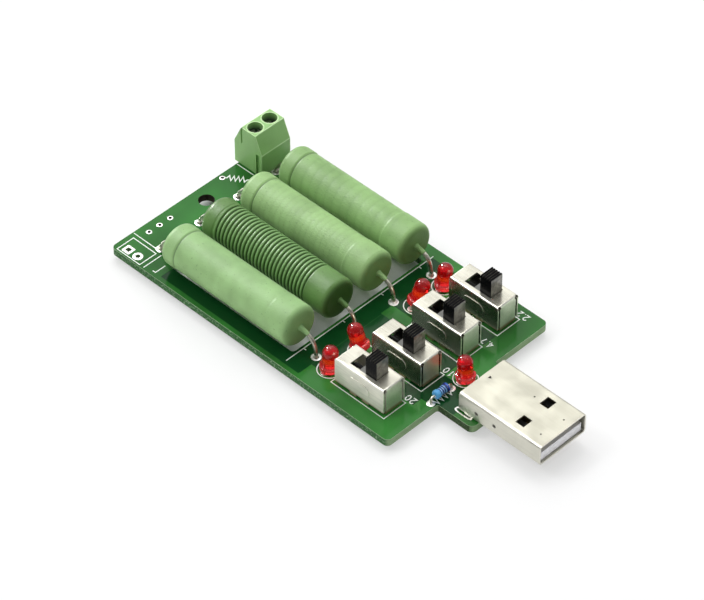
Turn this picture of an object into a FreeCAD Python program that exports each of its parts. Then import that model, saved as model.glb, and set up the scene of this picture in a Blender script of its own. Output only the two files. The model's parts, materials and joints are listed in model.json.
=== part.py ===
import FreeCAD, Part
import math
import os

# Plug-in resistive test load: a board with four wirewound resistors, four slide switches, five
# lamps, a two-way screw terminal and a flat plug on its front tab.
# Lengths are in mm. While the pieces are made, X runs along the board from its rear edge, Y runs
# across it and Z = 0 is its upper face. save() moves them to the part's own origin.

# Circuit board
board_width = 41.9
board_thickness = 1.6
board_corner_radius = 1.0
tab_half_width = 7.5
tab_length = 8.4
tab_corner_radius = 1.3
tab_root_radius = 0.5
window_rear_gap = 0.3
window_front_gap = 0.1
window_margin_y = 4.0
window_corner_radius = 0.8
mounting_hole_x = 3.35
mounting_hole_y = 21.3
mounting_hole_radius = 1.6
hole_clearance = 0.1
tail_length = 1.2

# Test points and the empty two-pin footprint at the rear corner
via_radius = 0.35
via_x = 2.1
via_ys = (7.7, 10.4, 13.1)
ring_via = (1.0, 27.7)
footprint_first_x = 2.9
footprint_pitch = 2.54
footprint_y = 1.7
footprint_hole_radius = 0.5

# Wirewound resistors
resistor_pitch = 10.0
resistor_row_shift = 0.15
resistor_axis_z = 4.7
resistor_rear_x = 11.3
resistor_length = 32.4
resistor_radius = 4.15
band_radius = 4.25
rear_band_length = 3.3
front_band_length = 5.6
banded_fronts = (2, 3)
end_chamfer = 0.6
end_chamfer_radial = 0.5
groove_depth = 0.18
groove_width = 0.3
ribbed_resistor = 1
rib_pitch = 0.9
rib_depth = 0.42
rib_land = 0.3
coating_end_wall = 1.0
cavity_radius = 3.4
core_radius = 3.0
end_cap_thickness = 0.8
nesting_gap = 0.04
collar_length = 1.2
collar_base_radius = 1.0
collar_tip_radius = 0.6
lead_radius = 0.4
lead_bend_radius = 2.6
rear_pad_reach = 4.3
front_pad_reach = 3.9

# Slide switches: how far each stands off its resistor's row, the field for the lamps behind them
# and the margin of board in front of them
switch_row_shifts = (0.5, -0.05, 0.35, 0.05)
lamp_field_length = 10.8
switch_front_margin = 4.8
switch_length = 12.1
switch_width = 5.4
switch_height = 6.05
switch_sheet = 0.3
switch_bend_radius = 0.45
switch_skirt_z = 0.6
switch_end_flap_z = 0.1
switch_slit_width = 0.35
switch_relief_radius = 0.4
switch_slot_length = 6.5
switch_slot_width = 3.3
switch_dimple_length = 5.0
switch_dimple_height = 2.4
switch_dimple_depth = 0.12
clamp_tab_length = 1.6
clamp_tab_reach = 0.7
base_top_z = 1.9
base_clearance = 0.05
terminal_pitch = 3.0
terminal_pad_length = 2.4
terminal_pad_width = 2.6
terminal_pad_thickness = 0.3
switch_pin_side = 0.6
knob_length = 2.7
knob_width = 3.0
knob_top_z = 10.1
knob_ridges = 5
knob_ridge_depth = 0.3
knob_end_clearance = 0.1
slider_plate_length = 6.0
slider_plate_width = 4.2
slider_plate_thickness = 1.6
slider_play = 0.1
clip_thickness = 0.2
clip_width = 2.4
clip_foot_spacing = 3.0
clip_foot_gap = 0.05
clip_shoulder = 0.9

# Indicator lamps: setback from the switches' rear end, offset from the board's middle line, lift
# of the lens above the board, and its lean in degrees about X and about Y. The last one, beside
# the plug, is set back from the board's front edge.
lamp_radius = 1.5
lamp_flange_radius = 1.9
lamp_flange_height = 1.0
lamp_height = 5.3
lamp_flat = 1.6
lamp_lead_side = 0.36
lamp_lead_pitch = 2.54
lamp_lead_turn_z = 0.05
lamp_post_height = 2.6
lamp_anvil_height = 1.0
lamp_anvil_reach = 0.45
lamp_settings = (
    {"setback": 3.0, "offset": -15.35, "lift": 0.25, "lean_x": -3.0, "lean_y": 1.0},
    {"setback": 2.5, "offset": -7.95, "lift": 0.80, "lean_x": 4.0, "lean_y": -17.0},
    {"setback": 3.3, "offset": 7.35, "lift": 0.80, "lean_x": -19.0, "lean_y": 6.0},
    {"setback": 3.2, "offset": 14.65, "lift": 0.25, "lean_x": -2.0, "lean_y": 2.0},
    {"setback": 0.9, "offset": 0.05, "lift": 0.25, "lean_x": 2.0, "lean_y": -2.0},
)

# Lamp series resistor
film_inset = 1.0
film_plug_offset = 5.55
film_pad_pitch = 5.3
film_body_length = 3.4
film_end_radius = 0.9
film_waist_radius = 0.75
film_end_length = 0.9
film_end_chamfer = 0.25
film_waist_slope = 0.25
film_axis_z = 1.25
film_lead_radius = 0.22
film_bend_radius = 0.55

# Plug
plug_offset_y = -0.65
plug_board_gap = 3.7
plug_length = 19.4
plug_width = 12.0
plug_height = 4.5
plug_sheet = 0.3
plug_corner_radius = 0.65
plug_window_length = 2.0
plug_window_width = 2.3
plug_window_setback = 6.5
plug_window_offset = 3.15
plug_leg_offset = 2.3
plug_leg_length = 1.8
tongue_thickness = 1.95
tongue_setback = 0.5
tongue_side_gap = 0.3
insulator_clearance = 0.05
insulator_block_length = 7.0
contact_offsets = (-3.5, -1.0, 1.0, 3.5)
contact_width = 1.0
contact_thickness = 0.2
contact_front_setback = 1.8
contact_tail_side = 0.5
contact_tail_offset = 1.5
tail_notch_clearance = 0.4

# Two-way screw terminal
block_rear_x = -1.0
block_front_x = 6.3
block_edge_gap = 1.3
block_length = 7.6
block_shoulder_z = 5.25
block_top_z = 9.3
block_top_rear_x = 0.9
block_top_front_x = 4.65
pole_pitch = 3.81
pole_x = 2.75
well_radius = 1.5
ledge_z = 6.0
ledge_thickness = 0.6
shank_hole_radius = 1.25
chamber_rear_x = 0.6
chamber_front_x = 5.4
chamber_half_width = 1.45
chamber_floor_z = 0.5
entry_half_width = 1.2
entry_low_z = 1.2
entry_high_z = 3.8
groove_rear_x = 4.75
groove_front_x = 5.75
groove_top_z = 4.9
groove_cut = 0.4
groove_undercut = 0.2
rib_clearance = 0.05
slit_x = 0.95
slit_width = 0.35
slit_reach = 0.4
screw_head_radius = 1.4
screw_head_height = 1.0
screw_shank_radius = 1.15
screw_recess_width = 0.5
screw_recess_depth = 0.5
screw_rest_angles = (35, 15)
bar_low_z = 3.0
bar_thickness = 0.4
bar_half_width = 0.9
bar_tip_x = 1.4
post_x = 4.95
post_half_thickness = 0.3
block_pin_side = 0.9
cage_low_z = 0.8
cage_plate = 0.6
cage_opening = 2.2
cage_top_plate = 0.8
cage_half_width = 1.35
cage_side = 0.35
cage_rear_x = 1.0
cage_front_x = 4.45
tip_clearance = 0.05

board_bottom_z = -board_thickness
tail_end_z = board_bottom_z - tail_length
resistor_front_x = resistor_rear_x + resistor_length
resistor_ys = [board_width / 2 + resistor_row_shift + step * resistor_pitch
               for step in (-1.5, -0.5, 0.5, 1.5)]
rear_pad_x = resistor_rear_x - rear_pad_reach
front_pad_x = resistor_front_x + front_pad_reach
switch_rear_x = resistor_front_x + lamp_field_length
switch_centre_x = switch_rear_x + switch_length / 2
board_length = switch_rear_x + switch_length + switch_front_margin
switch_ys = [y + shift for y, shift in zip(resistor_ys, switch_row_shifts)]
knob_rest_x = (switch_centre_x + switch_slot_length / 2
               - knob_end_clearance - knob_length / 2)
lamp_lines = [switch_rear_x] * (len(lamp_settings) - 1) + [board_length]
lamp_places = [dict(setting, x=line - setting["setback"], y=board_width / 2 + setting["offset"])
               for setting, line in zip(lamp_settings, lamp_lines)]
plug_centre_y = board_width / 2 + plug_offset_y
plug_rear_x = board_length + plug_board_gap
plug_front_x = plug_rear_x + plug_length
plug_window_x = plug_front_x - plug_window_setback
plug_leg_x = plug_rear_x + plug_leg_offset
contact_tail_x = plug_rear_x + contact_tail_offset
film_pad_x = board_length - film_inset
film_centre_y = plug_centre_y - film_plug_offset
film_pad_ys = (film_centre_y - film_pad_pitch / 2, film_centre_y + film_pad_pitch / 2)
block_y = board_width - block_edge_gap - block_length
pole_ys = (block_y + block_length / 2 - pole_pitch / 2, block_y + block_length / 2 + pole_pitch / 2)
part_centre_x = (block_rear_x + plug_front_x) / 2
part_centre_y = board_width / 2


def vec(x, y, z):
    return FreeCAD.Vector(x, y, z)


def box(x0, x1, y0, y1, z0, z1):
    return Part.makeBox(x1 - x0, y1 - y0, z1 - z0, vec(x0, y0, z0))


def post(side, x, y, z0, z1):
    """Upright square pin."""
    return box(x - side / 2, x + side / 2, y - side / 2, y + side / 2, z0, z1)


def rod(radius, start, end):
    direction = end - start
    return Part.makeCylinder(radius, direction.Length, start, direction)


def rounded_wire(corners):
    """Closed wire through corners given as (point, radius), with a tangent arc at each radius."""
    count = len(corners)
    stretches = []
    for i, (point, radius) in enumerate(corners):
        before = corners[i - 1][0] - point
        after = corners[(i + 1) % count][0] - point
        before.normalize()
        after.normalize()
        if radius <= 0:
            stretches.append((point, None, point))
            continue
        half_turn = before.getAngle(after) / 2
        inset = radius / math.tan(half_turn)
        to_centre = before + after
        to_centre.normalize()
        middle = point + to_centre * (radius / math.sin(half_turn) - radius)
        stretches.append((point + before * inset, middle, point + after * inset))
    edges = []
    for i, (start, middle, end) in enumerate(stretches):
        if middle is not None:
            edges.append(Part.Arc(start, middle, end).toShape())
        following = stretches[(i + 1) % count][0]
        if (following - end).Length > 1e-6:
            edges.append(Part.LineSegment(end, following).toShape())
    return Part.Wire(edges)


def plate(corners, thickness_vector):
    return Part.Face(rounded_wire(corners)).extrude(thickness_vector)


def turned(profile, axis_start, axis_direction, across):
    """Solid of revolution of (distance along the axis, radius) points."""
    points = [axis_start + axis_direction * along + across * radius for along, radius in profile]
    return Part.Face(Part.makePolygon(points + [points[0]])).revolve(
        axis_start, axis_direction, 360)


def wire_lead(points, bend_radius, radius):
    """Round wire along straight runs joined by tangent arcs of one bend radius."""
    edges = []
    start = points[0]
    for i in range(1, len(points) - 1):
        back = points[i - 1] - points[i]
        ahead = points[i + 1] - points[i]
        back.normalize()
        ahead.normalize()
        half_turn = back.getAngle(ahead) / 2
        inset = bend_radius / math.tan(half_turn)
        to_centre = back + ahead
        to_centre.normalize()
        middle = points[i] + to_centre * (bend_radius / math.sin(half_turn) - bend_radius)
        arc_start = points[i] + back * inset
        arc_end = points[i] + ahead * inset
        edges.append(Part.LineSegment(start, arc_start).toShape())
        edges.append(Part.Arc(arc_start, middle, arc_end).toShape())
        start = arc_end
    edges.append(Part.LineSegment(start, points[-1]).toShape())
    section = Part.Wire(Part.makeCircle(radius, points[0], points[1] - points[0]))
    return Part.Wire(edges).makePipeShell([section], True, True)


def fused(shapes):
    joined = shapes[0].fuse(shapes[1:]) if len(shapes) > 1 else shapes[0]
    return joined.removeSplitter()


def save(name, solids):
    """Move the solids to the part's own origin and write them as one node."""
    shape = Part.makeCompound(solids) if len(solids) > 1 else solids[0]
    shape = shape.copy()
    shape.translate(vec(-part_centre_x, -part_centre_y, -tail_end_z))
    shape.exportStep("parts/" + name + ".step")


def lamp_lead_feet(place):
    half = lamp_lead_pitch / 2
    return [(place["x"], place["y"] - half), (place["x"], place["y"] + half)]


def switch_pins(y):
    return [(switch_centre_x + step * terminal_pitch, y) for step in (-1, 0, 1)]


def round_holes():
    """Round holes of the board, as (x, y, radius)."""
    holes = [(mounting_hole_x, mounting_hole_y, mounting_hole_radius)]
    holes += [(via_x, y, via_radius) for y in via_ys] + [ring_via + (via_radius,)]
    holes += [(footprint_first_x + i * footprint_pitch, footprint_y, footprint_hole_radius)
              for i in range(2)]
    holes += [(x, y, lead_radius + hole_clearance)
              for y in resistor_ys for x in (rear_pad_x, front_pad_x)]
    holes += [(film_pad_x, y, film_lead_radius + hole_clearance) for y in film_pad_ys]
    return holes


def square_pins():
    """Every square pin that passes through the board, as (x, y, side)."""
    pins = [(x, pin_y, switch_pin_side) for y in switch_ys for x, pin_y in switch_pins(y)]
    pins += [(x, y, lamp_lead_side) for place in lamp_places for x, y in lamp_lead_feet(place)]
    pins += [(contact_tail_x, plug_centre_y + offset, contact_tail_side)
             for offset in contact_offsets]
    pins += [(post_x, y, block_pin_side) for y in pole_ys]
    return pins


def circuit_board():
    lift = vec(0, 0, board_thickness)
    low = board_bottom_z
    tab_low_y = plug_centre_y - tab_half_width
    tab_high_y = plug_centre_y + tab_half_width
    tab_end_x = board_length + tab_length
    window_rear_x = resistor_rear_x - window_rear_gap
    window_front_x = resistor_front_x + window_front_gap
    outline = [
        (vec(0, 0, low), board_corner_radius),
        (vec(board_length, 0, low), board_corner_radius),
        (vec(board_length, tab_low_y, low), tab_root_radius),
        (vec(tab_end_x, tab_low_y, low), tab_corner_radius),
        (vec(tab_end_x, tab_high_y, low), tab_corner_radius),
        (vec(board_length, tab_high_y, low), tab_root_radius),
        (vec(board_length, board_width, low), board_corner_radius),
        (vec(0, board_width, low), board_corner_radius),
    ]
    window_high_y = board_width - window_margin_y
    window = [
        (vec(window_rear_x, window_margin_y, low), window_corner_radius),
        (vec(window_front_x, window_margin_y, low), window_corner_radius),
        (vec(window_front_x, window_high_y, low), window_corner_radius),
        (vec(window_rear_x, window_high_y, low), window_corner_radius),
    ]
    cuts = [Part.makeCylinder(radius, board_thickness, vec(x, y, low))
            for x, y, radius in round_holes()]
    cuts += [post(side + 2 * hole_clearance, x, y, low, 0) for x, y, side in square_pins()]
    for side in (-1, 1):
        leg_y = plug_centre_y + side * (plug_width - plug_sheet) / 2
        cuts.append(box(plug_leg_x - plug_leg_length / 2 - hole_clearance,
                        plug_leg_x + plug_leg_length / 2 + hole_clearance,
                        leg_y - plug_sheet / 2 - hole_clearance,
                        leg_y + plug_sheet / 2 + hole_clearance, low, 0))
    return plate(outline, lift).cut([plate(window, lift)] + cuts)


def coating_outline(index):
    """Outer line of a coated resistor, as (x, radius) from rear to front."""
    rear_band_end = resistor_rear_x + rear_band_length
    front_band_start = resistor_front_x - front_band_length
    line = [(resistor_rear_x, band_radius - end_chamfer_radial),
            (resistor_rear_x + end_chamfer, band_radius),
            (rear_band_end, band_radius),
            (rear_band_end, resistor_radius - groove_depth),
            (rear_band_end + groove_width, resistor_radius - groove_depth)]
    front_radius = band_radius if index in banded_fronts else resistor_radius
    if index == ribbed_resistor:
        root_radius = resistor_radius - rib_depth
        ribs_start = rear_band_end + 2 * groove_width
        rib_count = int((front_band_start - ribs_start) / rib_pitch)
        for i in range(rib_count):
            x = ribs_start + i * rib_pitch
            line += [(x, root_radius), (x + rib_pitch / 2, resistor_radius)]
        line.append((ribs_start + rib_count * rib_pitch, root_radius))
        line.append((front_band_start + groove_width, resistor_radius))
    else:
        line.append((rear_band_end + groove_width, resistor_radius))
        if index in banded_fronts:
            line.append((front_band_start, resistor_radius))
            line.append((front_band_start + groove_width, band_radius))
    line.append((resistor_front_x - end_chamfer, front_radius))
    line.append((resistor_front_x, front_radius - end_chamfer_radial))
    return line


def resistor_coating(index, y):
    hole_radius = lead_radius + nesting_gap
    profile = [(resistor_rear_x - collar_length, hole_radius),
               (resistor_rear_x - collar_length, collar_tip_radius),
               (resistor_rear_x, collar_base_radius)]
    profile += coating_outline(index)
    profile += [(resistor_front_x, collar_base_radius),
                (resistor_front_x + collar_length, collar_tip_radius),
                (resistor_front_x + collar_length, hole_radius),
                (resistor_front_x - coating_end_wall, hole_radius),
                (resistor_front_x - coating_end_wall, cavity_radius),
                (resistor_rear_x + coating_end_wall, cavity_radius),
                (resistor_rear_x + coating_end_wall, hole_radius)]
    return turned(profile, vec(0, y, resistor_axis_z), vec(1, 0, 0), vec(0, 0, 1))


def resistor_lead(y, end_x, outward, pad_x):
    """End cap with its bent lead, at one end of a resistor."""
    cap_back = end_x - outward * (coating_end_wall + nesting_gap)
    axis = vec(outward, 0, 0)
    at = vec(cap_back, y, resistor_axis_z)
    cap = Part.makeCylinder(cavity_radius - nesting_gap, end_cap_thickness, at, axis * -1)
    lead = wire_lead([at, vec(pad_x, y, resistor_axis_z), vec(pad_x, y, tail_end_z)],
                     lead_bend_radius, lead_radius)
    return fused([cap, lead])


def resistor_inner_span(y):
    """Axis points between the two end caps, where the core and the winding lie."""
    inset = coating_end_wall + end_cap_thickness + 2 * nesting_gap
    return (vec(resistor_rear_x + inset, y, resistor_axis_z),
            vec(resistor_front_x - inset, y, resistor_axis_z))


def resistor_core(y):
    return rod(core_radius, *resistor_inner_span(y))


def resistor_winding(y):
    start, end = resistor_inner_span(y)
    return rod(cavity_radius - nesting_gap, start, end).cut(
        rod(core_radius + nesting_gap, start, end))


def power_resistors():
    for index, y in enumerate(resistor_ys):
        name = "power_resistor_%d_" % (index + 1)
        save(name + "coating", [resistor_coating(index, y)])
        save(name + "core", [resistor_core(y)])
        save(name + "winding", [resistor_winding(y)])
        save(name + "leads", [resistor_lead(y, resistor_rear_x, -1, rear_pad_x),
                              resistor_lead(y, resistor_front_x, 1, front_pad_x)])


def switch_frame(y):
    """Folded sheet cover: slotted top, two sides, two end flaps, slit corners, clamp tabs."""
    half_l = switch_length / 2
    half_w = switch_width / 2
    x0, x1 = switch_centre_x - half_l, switch_centre_x + half_l
    y0, y1 = y - half_w, y + half_w
    outer = box(x0, x1, y0, y1, switch_end_flap_z, switch_height)
    top_edges = [edge for edge in outer.Edges
                 if all(abs(v.Point.z - switch_height) < 1e-6 for v in edge.Vertexes)]
    shell = outer.makeFillet(switch_bend_radius, top_edges)
    s = switch_sheet
    cuts = [box(x0 + s, x1 - s, y0 + s, y1 - s, switch_end_flap_z, switch_height - s)]
    for side_y in (y0, y1 - s):
        cuts.append(box(x0, x1, side_y, side_y + s, switch_end_flap_z, switch_skirt_z))
    slit_top_z = switch_height - switch_bend_radius
    for x in (x0, x1):
        inward = 1 if x == x0 else -1
        slit_low_x, slit_high_x = sorted((x, x + inward * s))
        for side_y, step in ((y0, 1), (y1, -1)):
            low_y, high_y = sorted((side_y + step * s, side_y + step * (s + switch_slit_width)))
            cuts.append(box(slit_low_x, slit_high_x, low_y, high_y,
                            switch_end_flap_z, slit_top_z))
            relief = vec(x, side_y + step * (s + switch_slit_width / 2), slit_top_z)
            cuts.append(rod(switch_relief_radius, relief, relief + vec(inward * 2 * s, 0, 0)))
            cuts.append(box(slit_low_x, slit_high_x, *sorted((side_y, side_y + step * s)),
                            switch_end_flap_z, switch_skirt_z))
    half_slot = switch_slot_length / 2
    cuts.append(box(switch_centre_x - half_slot, switch_centre_x + half_slot,
                    y - switch_slot_width / 2, y + switch_slot_width / 2,
                    switch_height - 2 * s, switch_height))
    frame = shell.cut(cuts)
    additions = [frame]
    for side_y, step in ((y0, 1), (y1, -1)):
        for offset in (-1, 1):
            tab_x = switch_centre_x + offset * (terminal_pitch / 2)
            tab_y = sorted((side_y, side_y + step * clamp_tab_reach))
            additions.append(box(tab_x - clamp_tab_length / 2, tab_x + clamp_tab_length / 2,
                                 tab_y[0], tab_y[1], switch_end_flap_z,
                                 switch_end_flap_z + s))
            additions.append(box(tab_x - clamp_tab_length / 2, tab_x + clamp_tab_length / 2,
                                 *sorted((side_y, side_y + step * s)),
                                 switch_end_flap_z, switch_skirt_z + s))
    dimple = [(vec(switch_centre_x + sx * switch_dimple_length / 2, y0,
                   (switch_skirt_z + slit_top_z) / 2 + sz * switch_dimple_height / 2),
               switch_dimple_height / 2)
              for sx, sz in ((-1, -1), (1, -1), (1, 1), (-1, 1))]
    additions.append(plate(dimple, vec(0, -switch_dimple_depth, 0)))
    return fused(additions)


def switch_base(y):
    gap = switch_sheet + base_clearance
    half_l = switch_length / 2 - gap
    half_w = switch_width / 2 - gap
    x0, x1 = switch_centre_x - half_l, switch_centre_x + half_l
    low = switch_end_flap_z + switch_sheet + base_clearance
    base = box(x0, x1, y - half_w, y + half_w, low, base_top_z)
    foot_half_w = switch_width / 2 - clamp_tab_reach - base_clearance
    foot = box(x0, x1, y - foot_half_w, y + foot_half_w, 0, low)
    pins = [post(switch_pin_side, x, pin_y, 0, base_top_z) for x, pin_y in switch_pins(y)]
    return fused([base, foot]).cut(pins)


def switch_terminals(y):
    terminals = []
    for x, pin_y in switch_pins(y):
        pin = post(switch_pin_side, x, pin_y, tail_end_z, base_top_z)
        pad = box(x - terminal_pad_length / 2, x + terminal_pad_length / 2,
                  pin_y - terminal_pad_width / 2, pin_y + terminal_pad_width / 2,
                  base_top_z, base_top_z + terminal_pad_thickness)
        terminals.append(fused([pin, pad]))
    return terminals


def slider_plate_levels():
    high = switch_height - switch_sheet - slider_play
    return high - slider_plate_thickness, high


def switch_knob(y):
    """Slider plate under the cover with the ridged knob that stands out of the slot."""
    low, high = slider_plate_levels()
    plate_part = box(knob_rest_x - slider_plate_length / 2, knob_rest_x + slider_plate_length / 2,
                     y - slider_plate_width / 2, y + slider_plate_width / 2, low, high)
    x0 = knob_rest_x - knob_length / 2
    pitch = knob_length / knob_ridges
    line = [vec(x0, 0, high)]
    for i in range(knob_ridges):
        crest = x0 + i * pitch
        line += [vec(crest, 0, knob_top_z - knob_ridge_depth), vec(crest + 0.2 * pitch, 0, knob_top_z),
                 vec(crest + 0.8 * pitch, 0, knob_top_z),
                 vec(crest + pitch, 0, knob_top_z - knob_ridge_depth)]
    line.append(vec(x0 + knob_length, 0, high))
    distinct = [p for i, p in enumerate(line) if i == 0 or (p - line[i - 1]).Length > 1e-6]
    knob = plate([(p + vec(0, y - knob_width / 2, 0), 0) for p in distinct],
                 vec(0, knob_width, 0))
    return fused([plate_part, knob])


def contact_clip(y):
    """Bent spring strip that bridges two neighbouring terminal pads."""
    plate_low, _ = slider_plate_levels()
    foot_z = base_top_z + terminal_pad_thickness + clip_foot_gap
    half = clip_foot_spacing / 2
    t = clip_thickness
    under = [(-half - clip_shoulder, plate_low - t), (-half, foot_z), (0, plate_low - t),
             (half, foot_z), (half + clip_shoulder, plate_low - t)]
    lower = [(knob_rest_x + x, z) for x, z in under]
    upper = [(x, z + t) for x, z in reversed(lower)]
    corners = [(vec(x, y - clip_width / 2, z), 0) for x, z in lower + upper]
    return plate(corners, vec(0, clip_width, 0))


def slide_switches():
    for index, y in enumerate(switch_ys):
        name = "switch_%d_" % (index + 1)
        save(name + "frame", [switch_frame(y)])
        save(name + "base", [switch_base(y)])
        save(name + "terminals", switch_terminals(y))
        save(name + "knob", [switch_knob(y)])
        save(name + "contact_clip", [contact_clip(y)])


def leaned(point, place):
    """A point of the upright lens, as it lies once the lens leans."""
    first = FreeCAD.Rotation(vec(1, 0, 0), place["lean_x"])
    second = FreeCAD.Rotation(vec(0, 1, 0), place["lean_y"])
    return vec(place["x"], place["y"], place["lift"]) + second.multVec(first.multVec(point))


def lean(shape, place):
    centre = vec(place["x"], place["y"], place["lift"])
    shape.translate(centre)
    shape.rotate(centre, vec(1, 0, 0), place["lean_x"])
    shape.rotate(centre, vec(0, 1, 0), place["lean_y"])
    return shape


def lamp_anvil():
    """Broad top of the second lead, which carries the die cup inside the lens."""
    half_side = lamp_lead_side / 2
    return box(-half_side, half_side, -lamp_anvil_reach, lamp_lead_pitch / 2,
               lamp_post_height - lamp_anvil_height, lamp_post_height)


def lamp_lead(place, x, y):
    """Square lead: straight up through the board, then along the lean into the lens."""
    half_side = lamp_lead_side / 2
    corners = [(sx * half_side, sy * half_side)
               for sx, sy in ((-1, -1), (1, -1), (1, 1), (-1, 1))]
    levels = [[vec(x + dx, y + dy, z) for dx, dy in corners]
              for z in (tail_end_z, lamp_lead_turn_z)]
    local_y = y - place["y"]
    levels += [[leaned(vec(dx, local_y + dy, height), place) for dx, dy in corners]
               for height in (0, lamp_post_height)]
    wires = [Part.makePolygon(points + [points[0]]) for points in levels]
    return Part.makeLoft(wires, True, True)


def lamp(place):
    round_height = lamp_height - lamp_radius
    body = Part.makeCylinder(lamp_radius, round_height)
    dome = Part.makeSphere(lamp_radius, vec(0, 0, round_height), vec(0, 0, 1), 0, 90, 360)
    flange = Part.makeCylinder(lamp_flange_radius, lamp_flange_height)
    flat = box(-lamp_flange_radius, lamp_flange_radius, lamp_flat, lamp_flange_radius, 0,
               lamp_flange_height)
    half = lamp_lead_pitch / 2
    slots = [post(lamp_lead_side, 0, y, 0, lamp_post_height) for y in (-half, half)]
    lens = fused([flange.cut(flat), body, dome]).cut(slots + [lamp_anvil()])
    thin, broad = [lamp_lead(place, x, y) for x, y in lamp_lead_feet(place)]
    return lean(lens, place), [thin, fused([broad, lean(lamp_anvil(), place)])]


def indicator_lamps():
    for index, place in enumerate(lamp_places):
        lens, leads = lamp(place)
        save("lamp_%d_lens" % (index + 1), [lens])
        save("lamp_%d_leads" % (index + 1), leads)


def film_resistor():
    y0 = film_centre_y - film_body_length / 2
    hole = film_lead_radius
    half_outline = [(0, hole), (0, film_end_radius - film_end_chamfer),
                    (film_end_chamfer, film_end_radius), (film_end_length, film_end_radius),
                    (film_end_length + film_waist_slope, film_waist_radius)]
    profile = half_outline + [(film_body_length - along, radius)
                              for along, radius in reversed(half_outline)]
    body = turned(profile, vec(film_pad_x, y0, film_axis_z), vec(0, 1, 0), vec(0, 0, 1))
    lead = wire_lead([vec(film_pad_x, film_pad_ys[0], tail_end_z),
                      vec(film_pad_x, film_pad_ys[0], film_axis_z),
                      vec(film_pad_x, film_pad_ys[1], film_axis_z),
                      vec(film_pad_x, film_pad_ys[1], tail_end_z)],
                     film_bend_radius, film_lead_radius)
    save("series_resistor_body", [body])
    save("series_resistor_lead", [lead])


def plug_section(inset, x):
    half_w = plug_width / 2 - inset
    radius = max(plug_corner_radius - inset, 0.1)
    low, high = inset, plug_height - inset
    return [(vec(x, plug_centre_y + sy * half_w, z), radius)
            for sy, z in ((-1, low), (1, low), (1, high), (-1, high))]


def plug():
    length = plug_front_x - plug_rear_x
    outer = plate(plug_section(0, plug_rear_x), vec(length, 0, 0))
    inner = plate(plug_section(plug_sheet, plug_rear_x), vec(length, 0, 0))
    cuts = [inner]
    for side in (-1, 1):
        y = plug_centre_y + side * plug_window_offset
        cuts.append(box(plug_window_x - plug_window_length / 2,
                        plug_window_x + plug_window_length / 2,
                        y - plug_window_width / 2, y + plug_window_width / 2, 0, plug_height))
    tail_reach = contact_offsets[-1] + contact_tail_side / 2 + tail_notch_clearance
    cuts.append(box(plug_rear_x, contact_tail_x + contact_tail_side / 2 + tail_notch_clearance,
                    plug_centre_y - tail_reach, plug_centre_y + tail_reach, 0, plug_sheet))
    legs = []
    for side in (-1, 1):
        leg_y = plug_centre_y + side * (plug_width - plug_sheet) / 2
        legs.append(box(plug_leg_x - plug_leg_length / 2, plug_leg_x + plug_leg_length / 2,
                        leg_y - plug_sheet / 2, leg_y + plug_sheet / 2,
                        tail_end_z, plug_corner_radius))
    save("plug_shell", [fused([outer.cut(cuts)] + legs)])

    gap = plug_sheet + insulator_clearance
    half_w = plug_width / 2 - gap
    tongue_top = gap + tongue_thickness
    block = plate(plug_section(gap, plug_rear_x), vec(insulator_block_length, 0, 0))
    tongue_half_w = half_w - tongue_side_gap
    tongue = box(plug_rear_x, plug_front_x - tongue_setback, plug_centre_y - tongue_half_w,
                 plug_centre_y + tongue_half_w, gap, tongue_top)
    contacts = []
    channels = []
    for offset in contact_offsets:
        y = plug_centre_y + offset
        strip = box(contact_tail_x - contact_tail_side / 2, plug_front_x - contact_front_setback,
                    y - contact_width / 2, y + contact_width / 2,
                    tongue_top - contact_thickness, tongue_top)
        tail = post(contact_tail_side, contact_tail_x, y, tail_end_z, tongue_top)
        contacts.append(fused([strip, tail]))
        channels += [strip, tail]
    save("plug_insulator", [fused([block, tongue]).cut(channels)])
    save("plug_contacts", contacts)


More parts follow.
